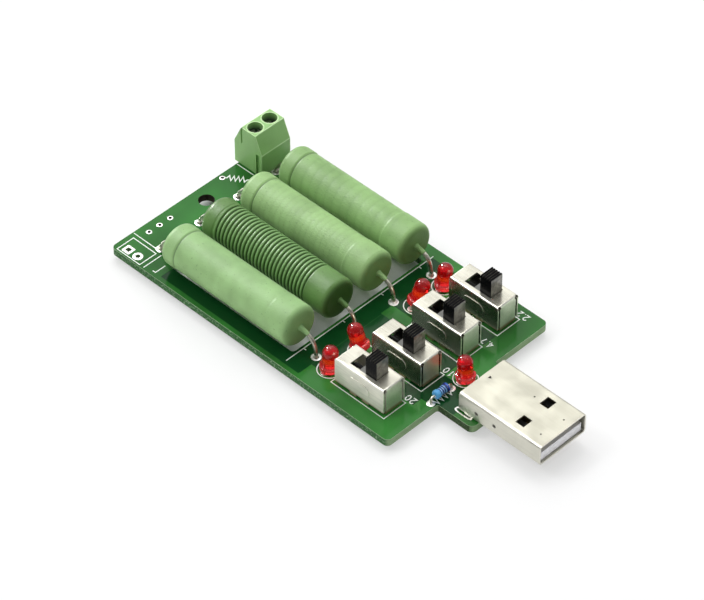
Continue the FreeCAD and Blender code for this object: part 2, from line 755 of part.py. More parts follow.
def terminal_block():
    profile = [(block_rear_x, 0), (block_front_x, 0), (block_front_x, block_shoulder_z),
               (block_top_front_x, block_top_z), (block_top_rear_x, block_top_z),
               (block_rear_x, block_shoulder_z)]
    body = plate([(vec(x, block_y, z), 0) for x, z in profile], vec(0, block_length, 0))
    dovetail = [(groove_rear_x, 0), (groove_front_x, 0),
                (groove_front_x + groove_undercut, groove_cut),
                (groove_rear_x - groove_undercut, groove_cut)]
    groove = plate([(vec(x, block_y + dy, 0), 0) for x, dy in dovetail], vec(0, 0, groove_top_z))
    rib = plate([(vec(x, block_y + block_length + min(dy, groove_cut - rib_clearance), 0), 0)
                 for x, dy in dovetail], vec(0, 0, groove_top_z - rib_clearance))
    slit = box(slit_x - slit_width / 2, slit_x + slit_width / 2, block_y, block_y + slit_reach,
               block_shoulder_z, block_top_z)
    cuts = [groove, slit]
    for y in pole_ys:
        cuts.append(Part.makeCylinder(well_radius, block_top_z, vec(pole_x, y, ledge_z
                                                                     + ledge_thickness)))
        cuts.append(Part.makeCylinder(shank_hole_radius, block_top_z, vec(pole_x, y, ledge_z)))
        cuts.append(box(chamber_rear_x, chamber_front_x, y - chamber_half_width,
                        y + chamber_half_width, chamber_floor_z, ledge_z))
        cuts.append(box(block_rear_x, chamber_rear_x, y - entry_half_width, y + entry_half_width,
                        entry_low_z, entry_high_z))
        cuts.append(post(block_pin_side + 2 * hole_clearance, post_x, y, 0, chamber_floor_z))
    save("terminal_housing", [fused([body, rib]).cut(cuts)])

    head_low = ledge_z + ledge_thickness
    head_high = head_low + screw_head_height
    pins = []
    for index, y in enumerate(pole_ys):
        head = Part.makeCylinder(screw_head_radius, screw_head_height, vec(pole_x, y, head_low))
        shank = rod(screw_shank_radius, vec(pole_x, y, bar_low_z + bar_thickness + tip_clearance),
                    vec(pole_x, y, head_low))
        half_slot = screw_recess_width / 2
        recess = head_high - screw_recess_depth
        reach = screw_head_radius
        slots = [box(pole_x - reach, pole_x + reach, y - half_slot, y + half_slot, recess, head_high),
                 box(pole_x - half_slot, pole_x + half_slot, y - reach, y + reach, recess, head_high)]
        screw = fused([head, shank]).cut(slots)
        screw.rotate(vec(pole_x, y, 0), vec(0, 0, 1), screw_rest_angles[index])
        save("terminal_screw_%d" % (index + 1), [screw])

        cage_high = cage_low_z + cage_plate + cage_opening + cage_top_plate
        cage = box(cage_rear_x, cage_front_x, y - cage_half_width, y + cage_half_width,
                   cage_low_z, cage_high)
        inside = cage_half_width - cage_side
        passage = box(cage_rear_x, cage_front_x, y - inside, y + inside,
                      cage_low_z + cage_plate, cage_low_z + cage_plate + cage_opening)
        thread = Part.makeCylinder(screw_shank_radius + tip_clearance, cage_high,
                                   vec(pole_x, y, cage_low_z + cage_plate))
        save("terminal_cage_%d" % (index + 1), [cage.cut([passage, thread])])

        bar = box(bar_tip_x, post_x + post_half_thickness, y - bar_half_width, y + bar_half_width,
                  bar_low_z, bar_low_z + bar_thickness)
        riser = box(post_x - post_half_thickness, post_x + post_half_thickness,
                    y - block_pin_side / 2, y + block_pin_side / 2, chamber_floor_z, bar_low_z)
        pin = post(block_pin_side, post_x, y, tail_end_z, chamber_floor_z)
        pins.append(fused([bar, riser, pin]))
    save("terminal_pins", pins)


os.makedirs("parts", exist_ok=True)
save("circuit_board", [circuit_board()])
power_resistors()
slide_switches()
indicator_lamps()
film_resistor()
plug()
terminal_block()
print("written", len(os.listdir("parts")), "nodes")
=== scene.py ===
import json
import math

import bmesh
import bpy
import numpy as np
from mathutils import Matrix, Vector

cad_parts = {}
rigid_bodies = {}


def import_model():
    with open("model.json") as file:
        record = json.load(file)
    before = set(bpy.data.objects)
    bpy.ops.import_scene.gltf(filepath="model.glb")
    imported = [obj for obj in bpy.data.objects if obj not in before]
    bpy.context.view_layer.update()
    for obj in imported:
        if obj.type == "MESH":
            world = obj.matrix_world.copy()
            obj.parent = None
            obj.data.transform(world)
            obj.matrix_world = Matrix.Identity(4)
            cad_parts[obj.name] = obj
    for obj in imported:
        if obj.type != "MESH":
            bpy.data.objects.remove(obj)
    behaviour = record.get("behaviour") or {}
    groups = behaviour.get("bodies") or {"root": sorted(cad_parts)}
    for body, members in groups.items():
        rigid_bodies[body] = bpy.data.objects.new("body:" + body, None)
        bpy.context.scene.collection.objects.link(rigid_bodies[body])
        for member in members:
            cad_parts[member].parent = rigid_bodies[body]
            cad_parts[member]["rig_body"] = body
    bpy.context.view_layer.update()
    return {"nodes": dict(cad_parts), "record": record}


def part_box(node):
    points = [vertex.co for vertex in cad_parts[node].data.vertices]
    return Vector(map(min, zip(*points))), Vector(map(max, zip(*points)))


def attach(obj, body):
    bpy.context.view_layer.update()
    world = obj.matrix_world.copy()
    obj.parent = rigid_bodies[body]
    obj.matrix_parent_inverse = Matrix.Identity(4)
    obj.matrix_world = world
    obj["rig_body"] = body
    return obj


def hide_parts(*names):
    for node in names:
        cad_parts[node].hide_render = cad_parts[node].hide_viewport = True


# A plug-in resistive test load: a green board with four wound resistors, four slide switches,
# five red lamps, a two-way screw terminal and a flat plug.
# Places are in mm from the board's rear right corner, with height 0 at its upper face.

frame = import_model()
boardLow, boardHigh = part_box("circuit_board")
slotOf = {part["node"]: part["material_slot"] for part in frame["record"]["subparts"]}
mm = 0.001


# board places in mm become metres in the part's frame
def place(points):
    origin = np.array([boardLow.x, boardLow.y, boardHigh.z])
    return np.asarray(points, float) * mm + origin


# places that the print, the pads and the pieces share
layout = {
    "resistorY": (6.1, 16.1, 26.1, 36.1), "resistorPadX": (7.0, 47.6), "terminalY": (34.895, 38.705),
    "lamps": ((51.5, 5.6), (52.0, 13.0), (51.2, 28.3), (51.3, 35.6), (70.5, 21.0)),
}


# Shader helpers

def newMaterial(name, colour=(0.5, 0.5, 0.5), metallic=0.0, roughness=0.5, **settings):
    material = bpy.data.materials.new(name)
    material.use_nodes = True
    shader = material.node_tree.nodes["Principled BSDF"]
    shader.inputs["Base Color"].default_value = (*colour, 1)
    shader.inputs["Metallic"].default_value = metallic
    shader.inputs["Roughness"].default_value = roughness
    for socket, value in settings.items():
        shader.inputs[socket.replace("_", " ")].default_value = value
    return material, shader, material.node_tree


# inputs are named by socket, or i0, i1 ... by number; a value may be a socket to link from
def addNode(tree, kind, settings=None, **inputs):
    node = tree.nodes.new("ShaderNode" + kind)
    for key, value in (settings or {}).items():
        setattr(node, key, value)
    for key, value in inputs.items():
        socket = node.inputs[int(key[1:])] if key[0] == "i" and key[1:].isdigit() else node.inputs[key]
        if isinstance(value, bpy.types.NodeSocket):
            tree.links.new(value, socket)
        else:
            socket.default_value = value
    return node


def objectPoint(tree):
    return addNode(tree, "TexCoord").outputs["Object"]


# the x, y and z of a vector, as three outputs
def partsOf(tree, vector):
    return addNode(tree, "SeparateXYZ", i0=vector).outputs


def normalParts(tree):
    return partsOf(tree, addNode(tree, "TexCoord").outputs["Normal"])


def distanceTo(tree, point, centre):
    return addNode(tree, "VectorMath", {"operation": "DISTANCE"}, i0=point,
                   i1=tuple(centre)).outputs["Value"]


def shade(colour, share):
    return tuple(c * share for c in colour)


def mathNode(tree, operation, *values, clamp=False):
    inputs = {"i%d" % i: value for i, value in enumerate(values)}
    return addNode(tree, "Math", {"operation": operation, "use_clamp": clamp}, **inputs).outputs[0]


def mixColours(tree, factor, first, second, blend="MIX"):
    node = addNode(tree, "Mix", {"data_type": "RGBA", "blend_type": blend}, i0=factor)
    for index, value in ((6, first), (7, second)):
        if isinstance(value, bpy.types.NodeSocket):
            tree.links.new(value, node.inputs[index])
        else:
            node.inputs[index].default_value = (*value, 1)
    return node.outputs[2]


def remap(tree, value, low, high, newLow=0.0, newHigh=1.0):
    return addNode(tree, "MapRange", i0=value, i1=low, i2=high, i3=newLow, i4=newHigh).outputs[0]


def setColour(tree, shader, colour, socket="Base Color"):
    tree.links.new(colour, shader.inputs[socket])


def newGroup(name, inputs, outputs):
    group = bpy.data.node_groups.new(name, "ShaderNodeTree")
    for direction, sockets in (("INPUT", inputs), ("OUTPUT", outputs)):
        for label, kind, value in sockets:
            socket = group.interface.new_socket(label, in_out=direction,
                                                socket_type="NodeSocket" + kind)
            if direction == "INPUT" and value is not None:
                socket.default_value = value
    return group, group.nodes.new("NodeGroupInput").outputs, group.nodes.new("NodeGroupOutput").inputs


def useGroup(tree, group, inputs):
    node = tree.nodes.new("ShaderNodeGroup")
    node.node_tree = group
    for key, value in inputs.items():
        if isinstance(value, bpy.types.NodeSocket):
            tree.links.new(value, node.inputs[key])
        else:
            node.inputs[key].default_value = value
    return node.outputs


def bumpFrom(tree, shader, height, strength, distance):
    bump = addNode(tree, "Bump", Strength=strength, Distance=distance, Height=height)
    tree.links.new(bump.outputs["Normal"], shader.inputs["Normal"])


# two noises: the fine one is grain, the coarse one is a slow drift in the tone
def makeGrain():
    group, given, out = newGroup("surfaceGrain",
                                 [("Point", "Vector", None), ("Fine", "Float", 9000.0),
                                  ("Coarse", "Float", 300.0)],
                                 [("Grain", "Float", None), ("Drift", "Float", None)])
    fine = addNode(group, "TexNoise", Vector=given["Point"], Scale=given["Fine"],
                   Detail=3.0, Roughness=0.6)
    coarse = addNode(group, "TexNoise", Vector=given["Point"], Scale=given["Coarse"],
                     Detail=2.0, Roughness=0.5)
    group.links.new(fine.outputs["Fac"], out["Grain"])
    group.links.new(coarse.outputs["Fac"], out["Drift"])
    return group


# thin lines along one direction, from a stretched noise, as on handled sheet metal
def makeScratches():
    group, given, out = newGroup("scratches",
                                 [("Point", "Vector", None), ("Along", "Vector", (1.0, 30.0, 30.0)),
                                  ("Scale", "Float", 100.0)],
                                 [("Line", "Float", None)])
    stretched = addNode(group, "VectorMath", {"operation": "MULTIPLY"}, i0=given["Point"],
                        i1=given["Along"])
    noise = addNode(group, "TexNoise", Vector=stretched.outputs[0], Scale=given["Scale"],
                    Detail=4.0, Roughness=0.7)
    group.links.new(remap(group, noise.outputs["Fac"], 0.45, 0.62), out["Line"])
    return group


# 1 inside an upright rectangle of the board, falling to 0 over a soft edge
def makeAreaMask():
    group, given, out = newGroup("areaMask",
                                 [("Point", "Vector", None), ("Centre", "Vector", (0, 0, 0)),
                                  ("Half Size", "Vector", (1, 1, 1)), ("Edge", "Float", 0.0001)],
                                 [("Mask", "Float", None)])
    offset = addNode(group, "VectorMath", {"operation": "SUBTRACT"}, i0=given["Point"],
                     i1=given["Centre"])
    size = addNode(group, "VectorMath", {"operation": "ABSOLUTE"}, i0=offset.outputs[0])
    outside = addNode(group, "VectorMath", {"operation": "SUBTRACT"}, i0=size.outputs[0],
                      i1=given["Half Size"])
    parts = partsOf(group, outside.outputs[0])
    furthest = mathNode(group, "MAXIMUM", parts[0], parts[1])
    soft = mathNode(group, "DIVIDE", furthest, given["Edge"])
    group.links.new(mathNode(group, "SUBTRACT", 0.5, soft, clamp=True), out["Mask"])
    return group


grain = makeGrain()
scratches = makeScratches()
areaMask = makeAreaMask()


def grainOf(tree, point, fine, coarse):
    return useGroup(tree, grain, {"Point": point, "Fine": fine, "Coarse": coarse})


# Mesh helpers

def newObject(name, data):
    item = bpy.data.objects.new(name, data)
    bpy.context.scene.collection.objects.link(item)
    return item


def newMesh(name, points, faces):
    mesh = bpy.data.meshes.new(name)
    mesh.from_pydata(np.asarray(points).tolist(), [], faces)
    return mesh


# a piece that is fixed to the board
def meshObject(name, points, faces, material, sharpDegrees=None):
    mesh = newMesh(name, points, faces)
    mesh.update()
    mesh.shade_smooth()
    if sharpDegrees:
        mesh.set_sharp_from_angle(angle=math.radians(sharpDegrees))
    mesh.materials.append(material)
    piece = newObject(name, mesh)
    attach(piece, "board_assembly")
    return piece


def setAttribute(piece, name, values):
    piece.data.attributes.new(name, "FLOAT", "POINT").data.foreach_set("value", values)


def turnAngles(columns):
    return np.linspace(0, 2 * np.pi, columns, endpoint=False)


# quads between neighbouring rings
def gridFaces(rows, columns):
    row, column = np.meshgrid(np.arange(rows - 1), np.arange(columns), indexing="ij")
    following = (column + 1) % columns
    quads = np.stack([row * columns + column, row * columns + following,
                      (row + 1) * columns + following, (row + 1) * columns + column], -1)
    return quads.reshape(-1, 4).tolist()


# a tube's quads and one face at each end
def tubeFaces(rows, columns):
    last = (rows - 1) * columns
    return gridFaces(rows, columns) + [list(range(columns))[::-1], list(range(last, last + columns))]


# quads of a loop whose last ring meets its first one
def loopFaces(rows, columns):
    last = (rows - 1) * columns
    return gridFaces(rows, columns) + [[last + i, last + (i + 1) % columns, (i + 1) % columns, i]
                                       for i in range(columns)]


# surface of revolution: at each distance along the axis a ring, radius * (cos of the angle
# across the axis + sin of the angle to its side); the ends are closed by one face each; the
# radius may also be a table with one row per ring and one column per angle
def turnedSurface(along, radius, start, direction, across, columns=64):
    direction, across = np.array(direction, float), np.array(across, float)
    angle = turnAngles(columns)
    ring = np.cos(angle)[:, None] * across + np.sin(angle)[:, None] * np.cross(direction, across)
    radius = np.asarray(radius, float)
    if radius.ndim == 1:
        radius = np.repeat(radius[:, None], columns, 1)
    points = (np.array(start, float) + np.asarray(along)[:, None, None] * direction
              + radius[:, :, None] * ring[None])
    return points.reshape(-1, 3), tubeFaces(len(along), columns)


# round tube along a path that stays in one plane of constant y: each ring is the path's point
# plus radius * (cos of the angle along y - sin of the angle along the path's normal)
def tubeAlong(path, radius, columns=20):
    path = np.asarray(path, float)
    tangent = np.gradient(path, axis=0)
    tangent /= np.linalg.norm(tangent, axis=1)[:, None]
    across = np.array([0.0, 1.0, 0.0])
    normal = np.cross(across, tangent)
    angle = turnAngles(columns)
    radius = np.broadcast_to(radius, len(path))[:, None, None]
    points = path[:, None] + radius * (np.cos(angle)[None, :, None] * across
                                       - np.sin(angle)[None, :, None] * normal[:, None])
    return points.reshape(-1, 3), tubeFaces(len(path), columns)


def joinedShapes(shapes):
    points, faces, offset = [], [], 0
    for shapePoints, shapeFaces in shapes:
        points.append(np.asarray(shapePoints, float))
        faces += [[index + offset for index in face] for face in shapeFaces]
        offset += len(shapePoints)
    return np.concatenate(points), faces


# takes a closed shape's volume out of a piece's mesh
def cutAway(piece, points, faces):
    cutter = newObject("cutter", newMesh("cutter", points, faces))
    cut = piece.modifiers.new("cut", "BOOLEAN")
    cut.operation, cut.solver, cut.object = "DIFFERENCE", "EXACT", cutter
    result = bpy.data.meshes.new_from_object(piece.evaluated_get(bpy.context.evaluated_depsgraph_get()))
    piece.modifiers.remove(cut)
    piece.data = result
    bpy.data.objects.remove(cutter)


# copy of a CAD node with its flat faces joined up and its edges rounded by a small bevel
def softenedCopy(nodeName, newName, material, width, sharpDegrees=35, cutter=None):
    source = frame["nodes"][nodeName]
    mesh = source.data.copy()
    mesh.name = newName
    build = bmesh.new()
    build.from_mesh(mesh)
    bmesh.ops.remove_doubles(build, verts=build.verts, dist=1e-6)
    bmesh.ops.dissolve_limit(build, angle_limit=math.radians(1.0), verts=build.verts,
                             edges=build.edges)
    build.to_mesh(mesh)
    build.free()
    mesh.materials.clear()
    mesh.materials.append(material)
    mesh.shade_smooth()
    piece = newObject(newName, mesh)
    if cutter:
        cutAway(piece, *cutter)
    bevel = piece.modifiers.new("edgeRounding", "BEVEL")
    bevel.width = width * mm
    bevel.segments = 2
    bevel.limit_method = "ANGLE"
    bevel.angle_limit = math.radians(sharpDegrees)
    bevel.use_clamp_overlap = True
    weighted = piece.modifiers.new("flatFaces", "WEIGHTED_NORMAL")
    weighted.keep_sharp = True
    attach(piece, source["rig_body"])
    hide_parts(nodeName)
    return piece


def finishNode(nodeName, material):
    mesh = frame["nodes"][nodeName].data
    mesh.materials.clear()
    mesh.materials.append(material)


# gives each CAD node in one of these material slots its finish
def finishSlots(finishes):
    for nodeName, slotName in slotOf.items():
        if slotName in finishes:
            finishNode(nodeName, finishes[slotName])


# Circuit board

board = {
    "copperGreen": (0.03, 0.168, 0.028), "bareGreen": (0.004, 0.055, 0.012), "roughness": 0.12,
    # cut edges: across the ends, along the sides with light specks, and a pale line at their top, the
    # mask's edge with a painted highlight
    "edgePale": (0.28, 0.42, 0.22), "edgeGreen": (0.035, 0.13, 0.035), "edgeSpeck": (0.3, 0.45, 0.27),
    "edgeTopHighlight": (0.42, 0.6, 0.36), "topLineLow": 0.16, "topLineHigh": 0.08, "edgeRoughness": 0.62,
    # areas with no copper under the mask, as low and high corners in mm
    "bareAreas": (((12.4, 0.95), (48.2, 6.4)), ((44.4, 1.3), (48.3, 39.6)), ((48.3, 4.2), (52.8, 39.6)),
                  ((8.6, 10.5), (10.6, 37.0)), ((52.0, 9.6), (68.4, 12.6)), ((52.0, 19.2), (67.2, 23.4)),
                  ((53.0, 29.4), (67.0, 32.6)), ((64.0, 11.8), (75.2, 19.0))),
    "copperPatches": (((48.0, 22.4), (53.6, 25.4)),), "areaEdge": 0.12,
    # painted shade on upright walls: inside the first area they belong to drilled holes, in the second
    # to the tab's near side beside the plug
    "drilled": ((0.5, 7.0), (10.6, 40.0)), "holeWallShade": (0.03, 0.022, 0.012),
    "tabSideShadeArea": ((71.0, 11.0), (80.0, 17.0)), "tabSideShade": (0.03, 0.04, 0.012),
}


# glossy green mask: lighter over copper, dark where there is none, and its own tones at the edges, with
# a painted highlight along their top and painted shade in the holes and on the tab's side beside the
# plug
def solderMaskMaterial():
    material, shader, tree = newMaterial("solderMask", roughness=board["roughness"],
                                         Specular_IOR_Level=0.18)
    point = objectPoint(tree)

    def areas(boxes):
        mask = None
        for (x0, y0), (x1, y1) in boxes:
            one = useGroup(tree, areaMask,
                           {"Point": point, "Edge": board["areaEdge"] * mm,
                            "Centre": tuple(place([(x0 + x1) / 2, (y0 + y1) / 2, 0])),
                            "Half Size": ((x1 - x0) / 2 * mm, (y1 - y0) / 2 * mm, 1.0)})["Mask"]
            mask = one if mask is None else mathNode(tree, "MAXIMUM", mask, one)
        return mask

    bare = mathNode(tree, "SUBTRACT", areas(board["bareAreas"]), areas(board["copperPatches"]),
                    clamp=True)
    texture = grainOf(tree, point, 5200.0, 70.0)
    copper = mixColours(tree, remap(tree, texture["Drift"], 0.35, 0.65),
                        *[shade(board["copperGreen"], share) for share in (0.7, 1.3)])
    mask = mixColours(tree, bare, copper, board["bareGreen"])
    normal = normalParts(tree)
    speck = addNode(tree, "TexNoise", Vector=point, Scale=2300.0, Detail=2.0).outputs["Fac"]
    side = mixColours(tree, remap(tree, speck, 0.52, 0.72, 0.0, 0.8), board["edgeGreen"],
                      board["edgeSpeck"])
    # painted shade on the tab's side beside the plug
    side = mixColours(tree, mathNode(tree, "MULTIPLY", areas([board["tabSideShadeArea"]]), 0.7), side,
                      board["tabSideShade"])
    fibre = useGroup(tree, scratches, {"Point": point, "Along": (3.0, 3.0, 60.0),
                                       "Scale": 110.0})["Line"]
    across = mixColours(tree, fibre, board["edgePale"], shade(board["edgePale"], 0.72))
    edge = mixColours(tree, remap(tree, mathNode(tree, "ABSOLUTE", normal[0]), 0.3, 0.8), side, across)
    # painted highlight along the top of the cut edges
    edgeTopHighlight = remap(tree, partsOf(tree, point)[2], boardHigh.z - board["topLineLow"] * mm,
                    boardHigh.z - board["topLineHigh"] * mm, 0.0, 0.8)
    edge = mixColours(tree, edgeTopHighlight, edge, board["edgeTopHighlight"])
    # painted shade on the walls of the drilled holes
    edge = mixColours(tree, areas([board["drilled"]]), edge, board["holeWallShade"])
    upright = remap(tree, mathNode(tree, "ABSOLUTE", normal[2]), 0.6, 0.3)
    setColour(tree, shader, mixColours(tree, upright, mask, edge))
    tree.links.new(remap(tree, upright, 0.0, 1.0, board["roughness"], board["edgeRoughness"]),
                   shader.inputs["Roughness"])
    height = mathNode(tree, "ADD", mathNode(tree, "MULTIPLY", bare, -0.6),
                      mathNode(tree, "MULTIPLY", texture["Grain"], 0.12))
    bumpFrom(tree, shader, height, 0.5, 0.00006)
    return material


finishNode("circuit_board", solderMaskMaterial())
print("board finished")


# Printed lines and plain numbers

printing = {
    "stroke": 0.2, "low": -0.01, "high": 0.02,
    # a line in front of the resistors with a tick for each
    "tickX": 44.4, "tickLength": 0.65,
    "lines": (((44.4, 1.7), (44.4, 40.0)), ((0.3, 5.5), (7.6, 5.5)), ((8.35, 0.4), (8.35, 4.9)),
              ((10.2, 1.0), (10.9, 1.0), (10.9, 3.5)), ((0.2, 32.4), (4.6, 32.4))),
    "footprint": ((1.2, 0.4), (7.3, 0.4), (7.3, 4.55), (1.2, 4.55)),
    # switch outlines, and lamp circles with a flat between the two angles
    "outlineX": (53.9, 67.1), "outlineY": ((3.5, 9.05), (13.05, 19.0), (23.0, 28.95), (32.95, 38.9)),
    "lampCircle": 2.3, "circleDegrees": (118, 422),
    # zig-zag signs: start, step, first tooth, points before and after the eight teeth, stroke
    "signs": (((1.6, 28.3), (0.35, 0.26), (-0.42, 0.56), [(1.2, 28.0), (1.6, 28.3)],
               [(4.8, 30.6), (5.1, 30.9)], 0.26),
              ((70.625, 12.13), (0.0, 0.52), (-0.825, 0.0), [(70.4, 12.4)], [(70.4, 17.0)], 0.24)),
    "numberHeight": 1.5, "numberWidth": 0.85, "numberStep": 1.2, "numberStroke": 0.22,
    "pointCloser": 0.75,
    # text, x of the first figure's middle, y of the middle; the row runs towards the rear
    "numbers": (("20", 67.75, 10.3), ("10", 67.8, 20.1), ("4.7", 67.85, 30.3), ("2.2", 67.7, 40.0)),
}


# flat strip along a path, closed at both ends or joined into a loop: each ring has two corners to
# the left and two to the right, along the bisector of the neighbouring stretches and at half the
# width over the cosine of half the bend
def stripShape(path, width, closed=False):
    path = np.asarray(path, float)
    before = np.roll(path, 1, 0) if closed else np.vstack([path[0], path[:-1]])
    after = np.roll(path, -1, 0) if closed else np.vstack([path[1:], path[-1]])
    incoming, outgoing = path - before, after - path
    if not closed:
        incoming[0], outgoing[-1] = outgoing[0], incoming[-1]
    incoming /= np.linalg.norm(incoming, axis=1)[:, None]
    outgoing /= np.linalg.norm(outgoing, axis=1)[:, None]
    across = np.stack([-(incoming + outgoing)[:, 1], (incoming + outgoing)[:, 0]], 1)
    across /= np.linalg.norm(across, axis=1)[:, None]
    cosine = np.clip(across[:, 0] * -outgoing[:, 1] + across[:, 1] * outgoing[:, 0], 0.4, 1)
    across *= (width / 2 / cosine)[:, None]
    rings = np.zeros((len(path), 4, 3))
    rings[:, :2, :2], rings[:, 2:, :2] = (path + across)[:, None], (path - across)[:, None]
    rings[:, (0, 3), 2], rings[:, (1, 2), 2] = printing["low"], printing["high"]
    return rings.reshape(-1, 3), (loopFaces if closed else tubeFaces)(len(path), 4)


# points at centre + (radiusX * cos, radiusY * sin) of evenly spaced angles
def arcPath(centreX, centreY, radiusX, radiusY, startDegrees, endDegrees, steps=20):
    angle = np.radians(np.linspace(startDegrees, endDegrees, steps))
    return np.stack([centreX + radiusX * np.cos(angle), centreY + radiusY * np.sin(angle)], 1)


# strokes of a figure in a box one wide and one high, middle at the origin
figureStrokes = {
    "0": [arcPath(0, 0, 0.42, 0.45, 0, 345)],
    "1": [[(-0.25, 0.3), (0.05, 0.47), (0.05, -0.47)]],
    "2": [np.vstack([arcPath(0, 0.2, 0.4, 0.27, 170, -35, 12), [(-0.42, -0.45), (0.45, -0.45)]])],
    "4": [[(0.22, -0.47), (0.22, 0.45), (-0.42, -0.18), (0.5, -0.18)]],
    "7": [[(-0.42, 0.45), (0.42, 0.45), (-0.1, -0.47)]],
    ".": [[(-0.1, -0.42), (0.1, -0.42)]],
}


def numberShapes(text, position, middleY):
    shapes = []
    closer = printing["pointCloser"]
    step = printing["numberStep"] * (closer if "." in text else 1.0)
    for count, figure in enumerate(text):
        if count:
            position -= step * (closer if figure == "." else 1.0)
        for stroke in figureStrokes[figure]:
            across, up = np.asarray(stroke, float).T
            path = np.stack([position - across * printing["numberWidth"],
                             middleY - up * printing["numberHeight"]], 1)
            shapes.append(stripShape(path, printing["numberStroke"]))
    return shapes


# zig-zag: the teeth lie at start + turn * step, to one side and the other in turn
def signShape(start, step, tooth, lead, tail, stroke):
    turn = np.arange(1, 9)[:, None]
    teeth = np.array(start) + turn * np.array(step) - (-1.0) ** turn * np.array(tooth)
    return stripShape(np.vstack([lead, teeth, tail]), stroke)


def printedShapes():
    tickX, circle = printing["tickX"], printing["lampCircle"]
    x0, x1 = printing["outlineX"]
    lines = list(printing["lines"]) + [((tickX, y), (tickX + printing["tickLength"], y))
                                       for y in layout["resistorY"]]
    loops = [printing["footprint"]]
    loops += [((x0, y0), (x1, y0), (x1, y1), (x0, y1)) for y0, y1 in printing["outlineY"]]
    loops += [arcPath(x, y, circle, circle, *printing["circleDegrees"], 41) for x, y in layout["lamps"]]
    shapes = [stripShape(path, printing["stroke"]) for path in lines]
    shapes += [stripShape(path, printing["stroke"], closed=True) for path in loops]
    shapes += [signShape(*sign) for sign in printing["signs"]]
    for number in printing["numbers"]:
        shapes += numberShapes(*number)
    return shapes


printInk = newMaterial("printInk", (0.8, 0.86, 0.8), 0.0, 0.45)[0]
points, faces = joinedShapes(printedShapes())
meshObject("board_printed_lines", place(points), faces, printInk, sharpDegrees=20)
print("printing made")


# Pads and solder

pads = {
    "sunk": -0.02, "top": 0.045, "round": 0.015, "bevel": 0.05,
    # places, ring on top (outer, inner), solder on top and below (outer, wire, rise)
    "kinds": (
        ([(x, y) for y in layout["resistorY"] for x in layout["resistorPadX"]],
         (0.98, 0.55), None, (1.3, 0.38, 1.0)),
        ([(47.6, 16.1), (47.6, 26.1)], None, (0.95, 0.38, 0.42), None),
        ([(x, y + side * 1.27) for x, y in layout["lamps"] for side in (-1, 1)],
         (0.75, 0.3), None, (0.75, 0.22, 0.8)),
        ([(70.4, 12.1), (70.4, 17.4)], (0.8, 0.3), (0.6, 0.2, 0.25), (0.8, 0.2, 0.8)),
        ([(x, y) for y in (6.6, 16.05, 26.45, 36.15) for x in (57.55, 60.55, 63.55)],
         None, None, (0.95, 0.36, 0.9)),
        ([(4.95, y) for y in layout["terminalY"]], None, None, (1.3, 0.55, 1.0))),
    # empty holes, plated on both sides, and the slots of the plug's legs; long pads have an outer
    # and an inner half size and the power of their outline
    "squarePad": (2.9, 1.7), "squareRing": ((0.95, 0.95), (0.5, 0.5), 12.0),
    "roundPad": (5.44, 1.7), "headerRing": (0.98, 0.5),
    "vias": ((2.1, 7.7), (2.1, 10.4), (2.1, 13.1), (1.0, 27.7)), "viaRing": (0.56, 0.33),
    "legSlots": ((76.3, 14.45), (76.3, 26.15)), "legRing": ((2.05, 0.62), (1.75, 0.36), 4.0),
}


# ring with that section, turned about an upright axis at (x, y); the section is a closed loop of
# (radius, height) corners, given upwards on the outside and downwards on the inside, and side -1
# turns it over to hang from the base
def ringShape(x, y, section, base=0.0, side=1, columns=32):
    radius, height = np.asarray(section, float)[::side].T[:, :, None]
    angle = turnAngles(columns)
    points = np.stack([x + radius * np.cos(angle), y + radius * np.sin(angle),
                       base + side * height * np.ones_like(angle)], -1)
    return points.reshape(-1, 3), loopFaces(len(section), columns)


def padRing(x, y, outer, inner, *level):
    sunk, top = pads["sunk"], pads["top"]
    section = [(outer, sunk), (outer, top - pads["round"]), (outer - pads["bevel"], top),
               (inner, top), (inner, sunk)]
    return ringShape(x, y, section, *level)


# solder drawn up the wire: height = rise * ((outer - radius) / (outer - wire))^1.8
def solderCone(x, y, outer, wire, rise, *level):
    radius = np.linspace(outer, wire, 12)
    height = rise * ((outer - radius) / (outer - wire)) ** 1.8
    section = np.vstack([(outer, pads["sunk"]), np.stack([radius, height + 0.01], 1),
                         (wire, pads["sunk"])])
    return ringShape(x, y, section, *level)


# flat pad with a long or square outline and an opening of the same form: the two outlines are
# the ring shape's circles raised to a power, |x/a|^n + |y/b|^n = 1
def longPad(x, y, outerHalf, innerHalf, power, columns=48):
    angle = turnAngles(columns)
    unit = np.stack([np.sign(np.cos(angle)) * np.abs(np.cos(angle)) ** (2 / power),
                     np.sign(np.sin(angle)) * np.abs(np.sin(angle)) ** (2 / power)], 1)
    sunk, top = pads["sunk"], pads["top"]
    rings = [np.column_stack([unit * half + (x, y), np.full(columns, z)])
             for half, z in ((outerHalf, sunk), (outerHalf, top), (innerHalf, top), (innerHalf, sunk))]
    return np.concatenate(rings), loopFaces(4, columns)


def solderShapes():
    under = (-(boardHigh.z - boardLow.z) / mm, -1)
    shapes = [longPad(*slot, *pads["legRing"]) for slot in pads["legSlots"]]
    shapes += [longPad(*pads["squarePad"], *pads["squareRing"]),
               padRing(*pads["squarePad"], *pads["headerRing"], *under)]
    platedBoth = [(*pads["roundPad"], *pads["headerRing"])]
    platedBoth += [(*via, *pads["viaRing"]) for via in pads["vias"]]
    for ring in platedBoth:
        shapes += [padRing(*ring), padRing(*ring, *under)]
    for places, ring, above, below in pads["kinds"]:
        for x, y in places:
            if ring:
                shapes.append(padRing(x, y, *ring))
            if above:
                shapes.append(solderCone(x, y, *above))
            if below:
                shapes.append(solderCone(x, y, *below, *under))
    return shapes


